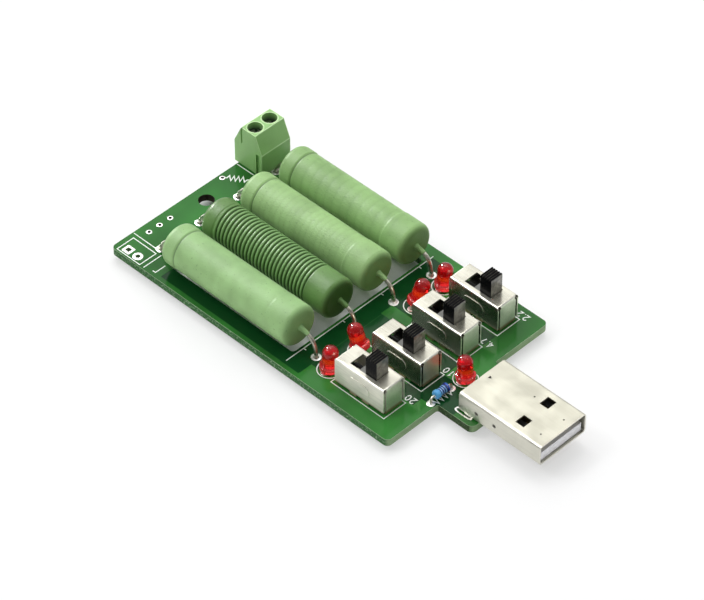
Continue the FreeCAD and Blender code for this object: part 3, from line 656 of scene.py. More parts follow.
# bright tin, whiter and rougher than the wires, with slow ripples
def solderMaterial():
    material, shader, tree = newMaterial("solderTin", (0.8, 0.79, 0.76), 0.65, 0.3)
    drift = grainOf(tree, objectPoint(tree), 5000.0, 1500.0)["Drift"]
    setColour(tree, shader, mixColours(tree, drift, (0.7, 0.69, 0.66), (0.95, 0.94, 0.91)))
    tree.links.new(remap(tree, drift, 0.3, 0.7, 0.2, 0.5), shader.inputs["Roughness"])
    bumpFrom(tree, shader, drift, 0.5, 0.00008)
    return material


points, faces = joinedShapes(solderShapes())
meshObject("board_pads_and_solder", place(points), faces, solderMaterial(),
           sharpDegrees=40)
print("pads and solder made")


# Wound resistors

resistors = {
    "axisZ": 4.7, "rearX": 11.3, "length": 32.4, "radius": 4.15, "endRadius": 1.15, "columns": 96,
    "ribbed": 1, "ribPitch": 0.9, "ribDepth": 0.42, "ribStart": 3.9, "ribEnd": 26.7, "ribFade": 0.4,
    # the wave's heights over which the painted shade of the grooves ends and the painted sheen of the
    # crests begins
    "grooveWave": (0.25, 0.6), "crestWave": (0.64, 0.86),
    # thicker coating at the two ends, and the crease where the rear one stops, with painted shade in it
    "bandRear": 3.3, "bandFront": 5.6, "bandRise": 0.1, "frontRise": (0.05, 0, 0.09, 0.1),
    "rearSlope": 0.15, "frontSlope": 0.3,
    "creasePlace": 3.55, "creaseDepth": 0.1, "creaseWidth": 0.13, "creaseShade": 0.75,
    # faint rings of the smooth ones, with painted shade in their valleys
    "ringPitch": (2.2, 1.0, 1.3, 2.0), "ringDepth": (0.006, 0, 0.026, 0.032), "ringStart": 3.4,
    "ringFade": 1.5, "ringShade": 4,
    "colours": ((0.32, 0.53, 0.225), (0.13, 0.26, 0.075), (0.325, 0.525, 0.215), (0.28, 0.47, 0.18)),
    # painted sheen on the ribbed one's crests, and the share of each colour kept in painted shade
    "crestSheen": (0.24, 0.44, 0.165), "grooveShade": (0.2, 0.45, 0.2, 0.2),
    # painted shade on the end faces, by share and tint
    "endShade": (0.4, 1.0, 0.75, 0.75), "endShadeTint": (0.3, 0.38, 0.24),
    # wires, and the collar of coating that runs out along each
    "wireRadius": 0.4, "tailZ": -2.8, "collarLength": 2.4, "collarTip": 0.4, "collarThickness": 0.05,
    "collarRise": 0.42, "collarFall": 0.35, "collarShade": 0.12,
    # at the front and at the rear: shares of the reach where the wire bends and by which it stays
    # short of its hole above it, and the share of the axis height down there
    "frontBend": (0.55, 0.0, 0.8), "rearBend": (0.3, 0.04, 0.36),
}


# smooth sage coating with fine grain, small specks and a slow drift in tone
def coatingMaterial(index):
    colour = resistors["colours"][index]
    ribbed = index == resistors["ribbed"]
    material, shader, tree = newMaterial("resistorCoating%d" % (index + 1), colour,
                                         roughness=0.4 if ribbed else 0.5,
                                         Specular_IOR_Level=0.24 if ribbed else 0.16)
    point = objectPoint(tree)
    texture = grainOf(tree, point, 7000.0, 220.0)
    tone = mixColours(tree, remap(tree, texture["Drift"], 0.3, 0.7), shade(colour, 0.86),
                      shade(colour, 1.12))
    speck = addNode(tree, "TexNoise", Vector=point, Scale=2600.0, Detail=1.0).outputs["Fac"]
    tone = mixColours(tree, remap(tree, speck, 0.68, 0.76, 0.0, 0.5), tone, shade(colour, 0.45))
    # painted shade: the end faces are darker
    ends = remap(tree, mathNode(tree, "ABSOLUTE", normalParts(tree)[0]), 0.45, 0.95, 0.0,
                 resistors["endShade"][index])
    tone = mixColours(tree, ends, tone, tuple(np.multiply(colour, resistors["endShadeTint"])))
    # painted shade in the grooves, the crease and the ring valleys, and a painted sheen on the crests
    # between the grooves: the attribute is 1 at the bottoms of the grooves, and below zero on the crests
    shadeAndSheen = addNode(tree, "Attribute", {"attribute_name": "shadeAndSheen"}).outputs["Fac"]
    if ribbed:
        tone = mixColours(tree, remap(tree, shadeAndSheen, 0.0, -1.0), tone, resistors["crestSheen"])
    tone = mixColours(tree, mathNode(tree, "MAXIMUM", shadeAndSheen, 0.0), tone,
                      shade(colour, resistors["grooveShade"][index]))
    setColour(tree, shader, tone)
    height = mathNode(tree, "ADD", texture["Grain"], mathNode(tree, "MULTIPLY", speck, 2.0))
    bumpFrom(tree, shader, height, 0.4, 0.00004)
    return material


# distances along the body: close steps at the rounded ends, even steps between
def coatingStations(index):
    end = resistors["endRadius"]
    rear = end * (1 - np.cos(np.linspace(0, np.pi / 2, 9)))
    step = resistors["ribPitch"] / 10 if index == resistors["ribbed"] else 0.1
    middle = np.arange(end + step, resistors["length"] - end, step)
    return np.concatenate([rear, middle, resistors["length"] - rear[::-1]])


# radius = plain radius, less end - sqrt(end^2 - (end - distance)^2) within the end rounding, plus
# the bands; the ribbed one is lower by depth * (1 - |cos(pi * (distance / pitch - turn))|), and
# the others by a little of the same with the root of a sine, and by one crease e^(-(distance/width)^2)
def coatingRadius(index, along, columns):
    end, length = resistors["endRadius"], resistors["length"]
    fromEnd = np.minimum(along, length - along)
    inside = np.clip(end - fromEnd, 0, end)
    rounding = end - np.sqrt(np.clip(end ** 2 - inside ** 2, 0, None))
    turn = np.linspace(0, 1, columns, endpoint=False)
    base = (resistors["radius"] - rounding)[:, None] * np.ones(columns)[None]
    if index == resistors["ribbed"]:
        wave = np.abs(np.cos(np.pi * (along[:, None] / resistors["ribPitch"] - turn[None])))
        soft = resistors["ribFade"]
        fade = np.clip(np.minimum(along - resistors["ribStart"] + soft,
                                  resistors["ribEnd"] + soft - along) / soft, 0, 1)[:, None]
        base -= fade * resistors["ribDepth"] * (1 - wave)
        shadeAndSheen = fade * (np.interp(wave, resistors["grooveWave"], (1, 0))
                         - np.interp(wave, resistors["crestWave"], (0, 1)))
    else:
        pitch, depth = resistors["ringPitch"][index], resistors["ringDepth"][index]
        ring = np.abs(np.sin(np.pi * (along[:, None] / pitch - turn[None]))) ** 0.5
        fade = np.clip((fromEnd - resistors["ringStart"]) / resistors["ringFade"], 0, 1)[:, None]
        crease = np.exp(-((along - resistors["creasePlace"]) / resistors["creaseWidth"]) ** 2)[:, None]
        base += fade * (ring - 1) * depth - resistors["creaseDepth"] * crease
        shadeAndSheen = fade * (1 - ring) * resistors["ringShade"] * depth + resistors["creaseShade"] * crease
    rear = np.clip((resistors["bandRear"] - along) / resistors["rearSlope"], 0, 1)
    front = np.clip((along - length + resistors["bandFront"]) / resistors["frontSlope"], 0, 1)
    bands = rear * resistors["bandRise"] + front * resistors["frontRise"][index]
    base += (bands * np.clip(fromEnd / end, 0, 1))[:, None]
    return base, shadeAndSheen


# one wire: a cubic curve, (1 - s)^3 A + 3 (1 - s)^2 s B + 3 (1 - s) s^2 C + s^3 D, from inside the
# end face A to the hole D, then straight down
def wirePath(y, faceX, padX, outward, bend):
    z, reach = resistors["axisZ"], abs(padX - faceX) * outward
    over, short, fall = bend
    corners = np.array([(faceX - 0.3 * outward, y, z), (faceX + reach * over, y, z + 0.05),
                        (padX - reach * short, y, z * fall), (padX, y, 0.3)])
    s = np.linspace(0, 1, 40)[:, None]
    weights = np.hstack([(1 - s) ** 3, 3 * (1 - s) ** 2 * s, 3 * (1 - s) * s ** 2, s ** 3])
    tail = np.linspace(0.2, resistors["tailZ"], 8)[:, None]
    return np.vstack([weights @ corners, np.hstack([np.full((8, 1), padX), np.full((8, 1), y), tail])])


# coating drawn out along the wire: radius = wire + thickness + rise * e^(-distance / fall), and
# down to the wire's own at the tip
def collarShape(path):
    distance = np.concatenate([[0], np.cumsum(np.linalg.norm(np.diff(path, axis=0), axis=1))])
    inside = distance < resistors["collarLength"]
    tip = np.clip((resistors["collarLength"] - distance) / resistors["collarTip"], 0, 1)
    coat = (resistors["collarThickness"]
            + resistors["collarRise"] * np.exp(-distance / resistors["collarFall"]))
    return tubeAlong(path[inside], (resistors["wireRadius"] + tip * coat)[inside])


rearPadX, frontPadX = layout["resistorPadX"]
wireEnds = ((resistors["rearX"], rearPadX, -1, resistors["rearBend"]),
            (resistors["rearX"] + resistors["length"], frontPadX, 1, resistors["frontBend"]))
resistorWires = []
for index, y in enumerate(layout["resistorY"]):
    stations = coatingStations(index)
    table, shadeAndSheen = coatingRadius(index, stations, resistors["columns"])
    body = turnedSurface(stations, table, (resistors["rearX"], y, resistors["axisZ"]), (1, 0, 0),
                         (0, 0, 1), resistors["columns"])
    paths = [wirePath(y, *end) for end in wireEnds]
    points, faces = joinedShapes([body] + [collarShape(path) for path in paths])
    nodeName = "power_resistor_%d_coating" % (index + 1)
    coating = meshObject("resistor_%d_coating" % (index + 1), place(points), faces,
                         coatingMaterial(index))
    collars = np.full(len(points) - shadeAndSheen.size, resistors["collarShade"])
    setAttribute(coating, "shadeAndSheen", np.concatenate([shadeAndSheen.ravel(), collars]))
    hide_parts(nodeName)
    resistorWires.append(joinedShapes([tubeAlong(path, resistors["wireRadius"]) for path in paths]))
print("resistor coatings made")


# bare wire, its tin mottled and in places dull
def wireMaterial():
    material, shader, tree = newMaterial("tinnedWire", (0.4, 0.38, 0.32), 1.0, 0.28)
    drift = grainOf(tree, objectPoint(tree), 6000.0, 900.0)["Drift"]
    setColour(tree, shader, mixColours(tree, drift, (0.34, 0.33, 0.27), (0.74, 0.73, 0.62)))
    tree.links.new(remap(tree, drift, 0.3, 0.7, 0.2, 0.42), shader.inputs["Roughness"])
    bumpFrom(tree, shader, drift, 0.25, 0.00005)
    return material


tinnedWire = wireMaterial()
finishSlots({"tinned_wire": tinnedWire,
             "resistance_wire": newMaterial("resistanceWire", (0.45, 0.41, 0.36), 1.0, 0.35)[0],
             "ceramic": newMaterial("ceramicWhite", (0.72, 0.7, 0.66), 0.0, 0.7)[0]})
for number, (points, faces) in enumerate(resistorWires, 1):
    nodeName = "power_resistor_%d_leads" % number
    wires = meshObject("resistor_%d_wires" % number, place(points), faces, tinnedWire)
    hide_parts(nodeName)
print("resistor wires made")


# Sheet metal

nickel = {
    "smudge": (0.15, 0.14, 0.11), "line": (0.1, 0.1, 0.09), "foldHighlight": (0.95, 0.94, 0.87),
    "foot": (0.34, 0.25, 0.1), "footTop": 1.0, "footLow": 0.5,
    "hollowShade": (0.03, 0.03, 0.025), "hollowHighlight": (0.9, 0.88, 0.8), "largeHollow": 0.3,
}


# warm white nickel with faint rolling lines and smudges, and a painted highlight on its folds; sides
# is a list of (axis of the normal, colour, roughness, metallic) for upright faces, whose colours are
# painted light, shade and reflection; marks one of pressed hollows as (centre, radius), which get
# painted shade, and a worn foot is brassy
def nickelMaterial(name, colour, roughness, lineScale, bumpSize, sides=(), streak=0.12, foldSheen=0.75,
                   wornFoot=False, marks=()):
    material, shader, tree = newMaterial(name, colour, 1.0, roughness)
    point = objectPoint(tree)
    drift = grainOf(tree, point, 7000.0, 260.0)["Drift"]
    line = useGroup(tree, scratches, {"Point": point, "Along": (1.0, 24.0, 24.0),
                                      "Scale": lineScale})["Line"]
    normal = normalParts(tree)
    tone, polish, metal = colour, roughness, 1.0
    # upright faces take their own colour: painted light and shade
    for axis, paintedSideColour, sideRoughness, sideMetallic in sides:
        facing = remap(tree, mathNode(tree, "ABSOLUTE", normal[axis]), 0.35, 0.75)
        tone = mixColours(tree, facing, tone, paintedSideColour)
        polish = remap(tree, facing, 0.0, 1.0, polish, sideRoughness)
        metal = remap(tree, facing, 0.0, 1.0, metal, sideMetallic)
    if sides:
        tree.links.new(metal, shader.inputs["Metallic"])
    level = mathNode(tree, "ABSOLUTE", normal[2])
    # painted highlight on the folds between the top and the sides
    fold = mathNode(tree, "MULTIPLY", remap(tree, level, 0.3, 0.6),
                    remap(tree, level, 0.975, 0.88, 0.0, foldSheen))
    tone = mixColours(tree, fold, tone, nickel["foldHighlight"])
    tone = mixColours(tree, remap(tree, drift, 0.35, 0.65, 0.14, 0.0), tone, nickel["smudge"])
    tone = mixColours(tree, mathNode(tree, "MULTIPLY", line, streak), tone, nickel["line"])
    if wornFoot:
        worn = remap(tree, partsOf(tree, point)[2], boardHigh.z + nickel["footTop"] * mm,
                     boardHigh.z + nickel["footLow"] * mm, 0.0, 0.85)
        tone = mixColours(tree, worn, tone, nickel["foot"])
    # painted shade in each hollow, with a painted highlight at the bottom of the larger ones
    for centre, radius in marks:
        away, size = distanceTo(tree, point, place(centre)), radius * mm
        tone = mixColours(tree, remap(tree, away, size * 1.1, size * 0.8, 0.0, 0.85), tone,
                          nickel["hollowShade"])
        if radius > nickel["largeHollow"]:
            tone = mixColours(tree, remap(tree, away, size * 0.55, size * 0.35, 0.0, 0.9), tone,
                              nickel["hollowHighlight"])
    setColour(tree, shader, tone)
    tree.links.new(mathNode(tree, "MULTIPLY", polish, remap(tree, drift, 0.3, 0.7, 0.8, 1.3)),
                   shader.inputs["Roughness"])
    bumpFrom(tree, shader, drift, 0.3, bumpSize)
    return material


# Slide switches

switches = {
    # painted light: the end walls are lighter with a painted green reflection of the board, the long
    # sides darker, painted shade
    "top": (0.53, 0.52, 0.45), "endWallReflection": (0, (0.78, 0.84, 0.66), 0.38, 0.85),
    "longSideShade": (1, (0.42, 0.41, 0.35), 0.25, 1.0),
    # painted light: the first switch's long side is much lighter, and its top a little darker
    "firstTop": (0.49, 0.48, 0.415), "firstSideLight": (1, (0.9, 0.88, 0.77), 0.45, 0.35),
    "coverRounding": 0.1, "knobRounding": 0.06,
    # knob: its black, the painted grey sheen of its ends, the grey of the plate under it, and the
    # heights in m between which the plate gives way to the knob
    "knobBlack": (0.004, 0.004, 0.005), "knobEndSheen": (0.22, 0.21, 0.165), "plate": (0.2, 0.2, 0.19),
    "plateLow": 0.0086, "plateHigh": 0.0089,
}


# the flat ends came off a polished mould, the ridged top didn't; the ends' grey is a painted sheen
def knobMaterial():
    material, shader, tree = newMaterial("knobPlastic", (0.005, 0.005, 0.006), 0.0, 0.24,
                                         Specular_IOR_Level=0.03, Coat_Roughness=0.16, Coat_IOR=1.8)
    point = objectPoint(tree)
    texture = grainOf(tree, point, 9000.0, 800.0)
    end = remap(tree, mathNode(tree, "ABSOLUTE", normalParts(tree)[0]), 0.8, 0.97)
    # painted grey sheen on the flat ends, mottled by the drift
    smudge = mathNode(tree, "MULTIPLY", end, remap(tree, texture["Drift"], 0.35, 0.65, 0.4, 1.0))
    plate = remap(tree, partsOf(tree, point)[2], switches["plateLow"], switches["plateHigh"], 1.0, 0.0)
    colour = mixColours(tree, smudge, switches["knobBlack"], switches["knobEndSheen"])
    setColour(tree, shader, mixColours(tree, plate, colour, switches["plate"]))
    tree.links.new(end, shader.inputs["Coat Weight"])
    bumpFrom(tree, shader, texture["Grain"], 0.2, 0.00002)
    return material


switchNickel = nickelMaterial("switchNickel", switches["top"], 0.26, 130.0, 0.00006,
                              (switches["endWallReflection"], switches["longSideShade"]), wornFoot=True)
firstNickel = nickelMaterial("outerSwitchNickel", switches["firstTop"], 0.28, 130.0, 0.00006,
                             (switches["endWallReflection"], switches["firstSideLight"]), wornFoot=True)
finishSlots({
    "nickel_sheet": switchNickel,
    "black_phenolic": newMaterial("blackPhenolic", (0.012, 0.01, 0.009), 0.0, 0.5,
                                  Specular_IOR_Level=0.2)[0],
    "black_plastic": newMaterial("blackPlastic", (0.006, 0.006, 0.007), 0.0, 0.34,
                                 Specular_IOR_Level=0.2)[0],
    "spring_bronze": newMaterial("springBronze", (0.72, 0.5, 0.28), 1.0, 0.3)[0],
})
knobPlastic = knobMaterial()
for number in range(1, 5):
    softenedCopy("switch_%d_frame" % number, "switch_%d_cover" % number,
                 firstNickel if number == 1 else switchNickel, switches["coverRounding"])
    softenedCopy("switch_%d_knob" % number, "switch_%d_slider_knob" % number, knobPlastic,
                 switches["knobRounding"])
print("switches made")


# Lamps

lamps = {
    # lift, and lean about the length and about the width in degrees
    "stances": ((0.25, -3, 1), (0.8, 4, -17), (0.8, -19, 6), (0.25, -2, 2), (0.25, 2, -2)),
    "radius": 1.5, "flangeRadius": 1.9, "flangeHeight": 1.0, "chamfer": 0.08, "height": 5.3,
    "flat": 1.6, "columns": 64,
    # colours up the height: pale foot, deep red, orange as a painted glow where light gathers, crimson
    # dome
    "stops": ((0.0, (0.5, 0.035, 0.04)), (0.17, (0.62, 0.06, 0.06)), (0.22, (0.55, 0.006, 0.012)),
              (0.36, (0.7, 0.01, 0.01)), (0.48, (1.0, 0.06, 0.006)), (0.57, (1.0, 0.05, 0.006)),
              (0.63, (0.5, 0.002, 0.006)), (0.8, (0.36, 0.0, 0.006)), (1.0, (0.45, 0.001, 0.006))),
    "rimShade": (0.07, 0.0, 0.001), "domeFrom": 0.52, "domeFull": 0.68,
}


def rampStops(ramp, stops):
    elements = ramp.color_ramp.elements
    while len(elements) < len(stops):
        elements.new(0.5)
    for element, (position, colour) in zip(elements, stops):
        element.position = position
        element.color = (*colour, 1)


# clear red epoxy with painted shade at its rim, and a painted glow: it gives out a little light in the
# barrel and hardly any in the dome
def lensMaterial():
    material, shader, tree = newMaterial("redLens", (0.75, 0.02, 0.01), 0.0, 0.03, IOR=1.5,
                                         Specular_IOR_Level=0.32, Transmission_Weight=0.8,
                                         Emission_Strength=0.28)
    height = addNode(tree, "Attribute", {"attribute_name": "lensHeight"}).outputs["Fac"]
    ramp = addNode(tree, "ValToRGB", i0=height)
    rampStops(ramp, lamps["stops"])
    # painted shade on the rim, where the lens is seen edge-on
    rim = remap(tree, addNode(tree, "LayerWeight", Blend=0.5).outputs["Facing"], 0.25, 0.85, 0.0, 0.85)
    colour = mixColours(tree, rim, ramp.outputs["Color"], lamps["rimShade"])
    setColour(tree, shader, colour)
    # painted glow: a little light given out in the barrel, none in the dome
    dome = remap(tree, height, lamps["domeFrom"], lamps["domeFull"], 0.0, 0.85)
    setColour(tree, shader, mixColours(tree, dome, colour, (0.0, 0.0, 0.0)), "Emission Color")
    return material


# upright lens: rings at radius * (cos, sin) of the angle for the flange and the barrel, then a
# half ball at heights of radius * sin; the flange is cut flat, and all of it leans about its base
def lensShape(x, y, lift, leanX, leanY):
    radius, high, columns = lamps["radius"], lamps["height"], lamps["columns"]
    flange, flangeTop, chamfer = lamps["flangeRadius"], lamps["flangeHeight"], lamps["chamfer"]
    turn = np.linspace(0, np.pi / 2, 17)[1:-1]
    heights = np.concatenate([[0.0, chamfer, flangeTop - chamfer, flangeTop, flangeTop + 0.1],
                              np.linspace(flangeTop + 0.4, high - radius, 8),
                              high - radius + radius * np.sin(turn)])[:, None]
    radii = np.concatenate([[flange - chamfer, flange, flange, flange - chamfer, radius],
                            np.full(8, radius), radius * np.cos(turn)])[:, None]
    angle = turnAngles(columns)
    points = np.stack([radii * np.cos(angle), np.minimum(radii * np.sin(angle), lamps["flat"]),
                       heights * np.ones_like(angle)], -1).reshape(-1, 3)
    top = len(points)
    points = np.vstack([points, [0, 0, high]])
    faces = gridFaces(len(heights), columns) + [list(range(columns))[::-1]]
    faces += [[top - columns + i, top - columns + (i + 1) % columns, top] for i in range(columns)]
    turnX = Matrix.Rotation(math.radians(leanX), 3, "X")
    turnY = Matrix.Rotation(math.radians(leanY), 3, "Y")
    leaned = points @ np.array(turnY @ turnX).T + np.array([x, y, lift])
    return leaned, faces, points[:, 2] / high


redLens = lensMaterial()
for number, (spot, stance) in enumerate(zip(layout["lamps"], lamps["stances"]), 1):
    points, faces, share = lensShape(*spot, *stance)
    lens = meshObject("lamp_%d_red_lens" % number, place(points), faces, redLens,
                      sharpDegrees=40)
    setAttribute(lens, "lensHeight", share)
    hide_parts("lamp_%d_lens" % number)
print("lamps made")


# Film resistor beside the plug

navy, paleBlue = (0.008, 0.012, 0.13), (0.22, 0.48, 0.82)
film = {
    "x": 70.4, "y": 14.75, "z": 1.25, "length": 3.4, "endRadius": 0.9, "waist": 0.75, "neck": 0.3,
    "capRound": 0.35, "waistFrom": 0.75, "waistBlend": 0.45,
    "stops": ((0.0, (0.09, 0.38, 0.74)), (0.31, navy), (0.37, paleBlue), (0.43, navy),
              (0.52, paleBlue), (0.57, navy), (0.66, paleBlue), (0.71, navy),
              (0.83, (0.02, 0.09, 0.5)), (0.92, (0.09, 0.38, 0.74))),
}


# blue paint, paler between its four navy bands, and one deep blue band beside the last of them
def filmMaterial():
    material, shader, tree = newMaterial("filmPaint", (0.1, 0.35, 0.7), 0.0, 0.2)
    along = partsOf(tree, objectPoint(tree))[1]
    rearY = place([0, film["y"] - film["length"] / 2, 0])[1]
    share = mathNode(tree, "DIVIDE", mathNode(tree, "SUBTRACT", along, rearY), film["length"] * mm)
    ramp = addNode(tree, "ValToRGB", i0=share)
    ramp.color_ramp.interpolation = "CONSTANT"
    rampStops(ramp, film["stops"])
    setColour(tree, shader, ramp.outputs["Color"])
    return material


# turned body: caps rounded by sqrt(1 - (1 - distance)^2), and a waist blended in by the smooth
# step t^2 (3 - 2t)
def filmShape():
    along = np.linspace(0, film["length"], 61)
    fromCap = np.minimum(along, film["length"] - along)
    cap = np.sqrt(np.clip(1 - (1 - np.clip(fromCap / film["capRound"], 0, 1)) ** 2, 0, 1))
    t = np.clip((fromCap - film["waistFrom"]) / film["waistBlend"], 0, 1)
    radius = (film["neck"] + (film["endRadius"] - film["neck"]) * cap
              - (film["endRadius"] - film["waist"]) * t ** 2 * (3 - 2 * t))
    start = (film["x"], film["y"] - film["length"] / 2, film["z"])
    return turnedSurface(along, radius, start, (0, 1, 0), (0, 0, 1), 48)


points, faces = filmShape()
filmBody = meshObject("series_resistor_painted_body", place(points), faces, filmMaterial())
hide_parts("series_resistor_body")
print("film resistor made")


# Terminal block

terminal = {
    "colour": (0.29, 0.55, 0.19), "edgeSheen": (0.62, 0.86, 0.46), "wellShade": (0.02, 0.045, 0.02),
    "wellX": 2.775, "wellRadius": 1.5, "rimWidth": 0.3, "darkFrom": 0.4, "darkFull": 1.8,
    # long edges as (x, height), and the middle and half of the width along y
    "corners": ((-1.0, 5.25), (0.9, 9.3), (4.65, 9.3), (6.3, 5.25), (6.3, 0.0)),
    "middleY": 36.8, "halfWidth": 3.8, "edgeWidth": 0.17, "edgeSheenShare": 0.85,
}


# green plastic with a painted highlight along its edges and round its wells, and painted shade down in
# the screw wells
def terminalMaterial():
    material, shader, tree = newMaterial("terminalGreen", terminal["colour"], 0.0, 0.38,
                                         Specular_IOR_Level=0.3)
    point = objectPoint(tree)
    parts, normal = partsOf(tree, point), normalParts(tree)
    texture = grainOf(tree, point, 6000.0, 300.0)
    tone = mixColours(tree, texture["Drift"], shade(terminal["colour"], 0.88),
                      shade(terminal["colour"], 1.1))

    # distance to the nearest of the places, seen along the axis that the mask leaves out
    def nearestTo(places, mask):
        flat = addNode(tree, "VectorMath", {"operation": "MULTIPLY"}, i0=point, i1=mask).outputs[0]
        nearest = None
        for centre in places:
            away = distanceTo(tree, flat, place(centre) * mask)
            nearest = away if nearest is None else mathNode(tree, "MINIMUM", nearest, away)
        return nearest

    # painted highlight along the long edges, along the borders of the flat faces and round the wells
    wide, sheenShare = terminal["edgeWidth"] * mm, terminal["edgeSheenShare"]
    corner = nearestTo([(x, 0, z) for x, z in terminal["corners"]], (1, 0, 1))
    edge = remap(tree, corner, wide, wide * 0.6, 0.0, sheenShare)
    middle, half = float(place([0, terminal["middleY"], 0])[1]), terminal["halfWidth"] * mm
    across = mathNode(tree, "ABSOLUTE", mathNode(tree, "SUBTRACT", parts[1], middle))
    border = mathNode(tree, "MULTIPLY", remap(tree, across, half - wide, half - wide * 0.6, 0.0, sheenShare),
                      remap(tree, mathNode(tree, "ABSOLUTE", normal[1]), 0.98, 0.9))
    well = terminal["wellRadius"]
    fromWell = nearestTo([(terminal["wellX"], y, 0) for y in layout["terminalY"]], (1, 1, 0))
    rim = remap(tree, fromWell, (well + terminal["rimWidth"]) * mm,
                (well + terminal["rimWidth"] / 2) * mm)
    rim = mathNode(tree, "MULTIPLY", remap(tree, normal[2], 0.5, 0.9, 0.0, sheenShare), rim)
    edge = mathNode(tree, "MAXIMUM", mathNode(tree, "MAXIMUM", edge, border), rim)
    tone = mixColours(tree, edge, tone, terminal["edgeSheen"])
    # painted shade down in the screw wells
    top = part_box("terminal_housing")[1].z
    depth = remap(tree, parts[2], top - terminal["darkFrom"] * mm, top - terminal["darkFull"] * mm)
    inWell = mathNode(tree, "LESS_THAN", fromWell, (well + 0.05) * mm)
    tone = mixColours(tree, mathNode(tree, "MULTIPLY", inWell, depth), tone, terminal["wellShade"])
    setColour(tree, shader, tone)
    bumpFrom(tree, shader, texture["Grain"], 0.2, 0.00003)
    return material


finishSlots({"screw_steel": nickelMaterial("screwSteel", (0.68, 0.66, 0.63), 0.26, 200.0, 0.00003),
             "cage_steel": nickelMaterial("cageSteel", (0.6, 0.58, 0.55), 0.32, 200.0, 0.00003)})
softenedCopy("terminal_housing", "terminal_block_housing", terminalMaterial(), 0.2, sharpDegrees=15)
print("terminal made")


# Plug

plug = {
    # the front and side are paler than the top: painted light
    "colour": (0.42, 0.41, 0.345), "front": (0, (0.75, 0.74, 0.66), 0.4, 1.0),
    "side": (1, (0.7, 0.69, 0.6), 0.36, 1.0), "top": 4.5, "sideY": 14.3,
    # middle x and height of the pressed dimples in the side, their ball's radius and its depth
    "dimples": ((79.3, 2.1), (83.6, 2.1)), "dimpleRadius": 0.42, "dimpleDepth": 0.26,
    # pits and the lance in the upper sheet
    "pits": ((85.3, 22.9), (92.3, 16.9), (92.8, 22.3)), "pitRadius": 0.2, "pitLift": 0.1,
    "lance": (76.4, 20.9), "lanceSize": 0.45, "lanceLow": -0.4, "lanceHigh": 0.2,
    # where the painted shade on the tongue ends, and its white and its painted shade
    "mouthX": 91.5, "shadeLength": 1.5, "tongueWhite": (0.95, 0.95, 0.97),
    "tongueShade": (0.08, 0.08, 0.08),
}


# ball of that radius: rings of radius * cos at heights of radius * sin of even angles
def ballShape(centre, radius):
    turn = np.linspace(-np.pi / 2, np.pi / 2, 15)[1:-1]
    return turnedSurface(radius * np.sin(turn), radius * np.cos(turn), centre, (0, 0, 1), (1, 0, 0), 24)


def plugCuts():
    radius, top = plug["dimpleRadius"], plug["top"]
    dimpleY = plug["sideY"] - (radius - plug["dimpleDepth"])
    shapes = [ballShape((x, dimpleY, z), radius) for x, z in plug["dimples"]]
    shapes += [ballShape((x, y, top + plug["pitLift"]), plug["pitRadius"]) for x, y in plug["pits"]]
    # three-sided prism through the upper sheet
    angle = turnAngles(3)
    corner = np.stack([np.cos(angle), np.sin(angle)], 1) * plug["lanceSize"] + plug["lance"]
    prism = np.vstack([np.column_stack([corner, np.full(3, top + lift)])
                       for lift in (plug["lanceLow"], plug["lanceHigh"])])
    shapes.append((prism, tubeFaces(2, 3)))
    points, faces = joinedShapes(shapes)
    return place(points), faces


# white at the mouth, with painted shade further in, where the windows look on it
def insulatorMaterial():
    material, shader, tree = newMaterial("insulatorPlastic", (0.9, 0.9, 0.92), 0.0, 0.4)
    mouth = float(place([plug["mouthX"], 0, 0])[0])
    share = remap(tree, partsOf(tree, objectPoint(tree))[0], mouth - plug["shadeLength"] * mm, mouth)
    setColour(tree, shader, mixColours(tree, share, plug["tongueShade"], plug["tongueWhite"]))
    return material


# painted shade in the dimples and pits, and a painted highlight at the bottom of the dimples
plugNickel = nickelMaterial(
    "plugNickel", plug["colour"], 0.36, 90.0, 0.00004, (plug["front"], plug["side"]), streak=0.04,
    foldSheen=0.2, marks=[((x, plug["sideY"], z), plug["dimpleRadius"]) for x, z in plug["dimples"]]
    + [((x, y, plug["top"]), plug["pitRadius"]) for x, y in plug["pits"]])
finishSlots({"plug_plating": plugNickel,
             "white_plastic": newMaterial("whitePlastic", (0.8, 0.79, 0.76), 0.0, 0.4)[0],
             "gilt_contact": newMaterial("giltContact", (0.86, 0.66, 0.33), 1.0, 0.25)[0]})
softenedCopy("plug_shell", "plug_formed_shell", plugNickel, 0.05, cutter=plugCuts())
softenedCopy("plug_insulator", "plug_tongue_insulator", insulatorMaterial(), 0.06)
print("plug made")


# Camera, floor and light

studio = {
    # places in mm
    "camera": (345.53, -355.91, 483.88), "target": (-4.937, 0.226, 2.8), "lens": 194.13, "sensor": 36.0,
    # the paper's half size in m, its tone, and how much plain white is mixed into its look
    "paperHalf": 3, "paperTone": (0.96, 0.96, 0.965), "whitening": 0.5,
    # middle and half size of the area under the board's window
    "windowMiddle": (24.0, 20.95, 0), "windowHalf": (22.5, 18.5), "windowEdge": 2.0,
    # the sky is brighter above and behind the board's left than in front of it
    "skyTowards": (-0.55, 0.5, 0.67), "skyDim": 0.24, "skyBright": 0.84,
}

cameraData = bpy.data.cameras.new("photoCamera")
cameraData.lens = studio["lens"]
cameraData.sensor_width = studio["sensor"]
cameraData.sensor_fit = "HORIZONTAL"
cameraData.clip_start = 0.01
cameraData.clip_end = 10.0
cameraObject = newObject("photoCamera", cameraData)
cameraObject.location = Vector(studio["camera"]) * mm
aim = Vector(studio["target"]) * mm - cameraObject.location
cameraObject.rotation_euler = aim.to_track_quat("-Z", "Y").to_euler()
bpy.context.scene.camera = cameraObject


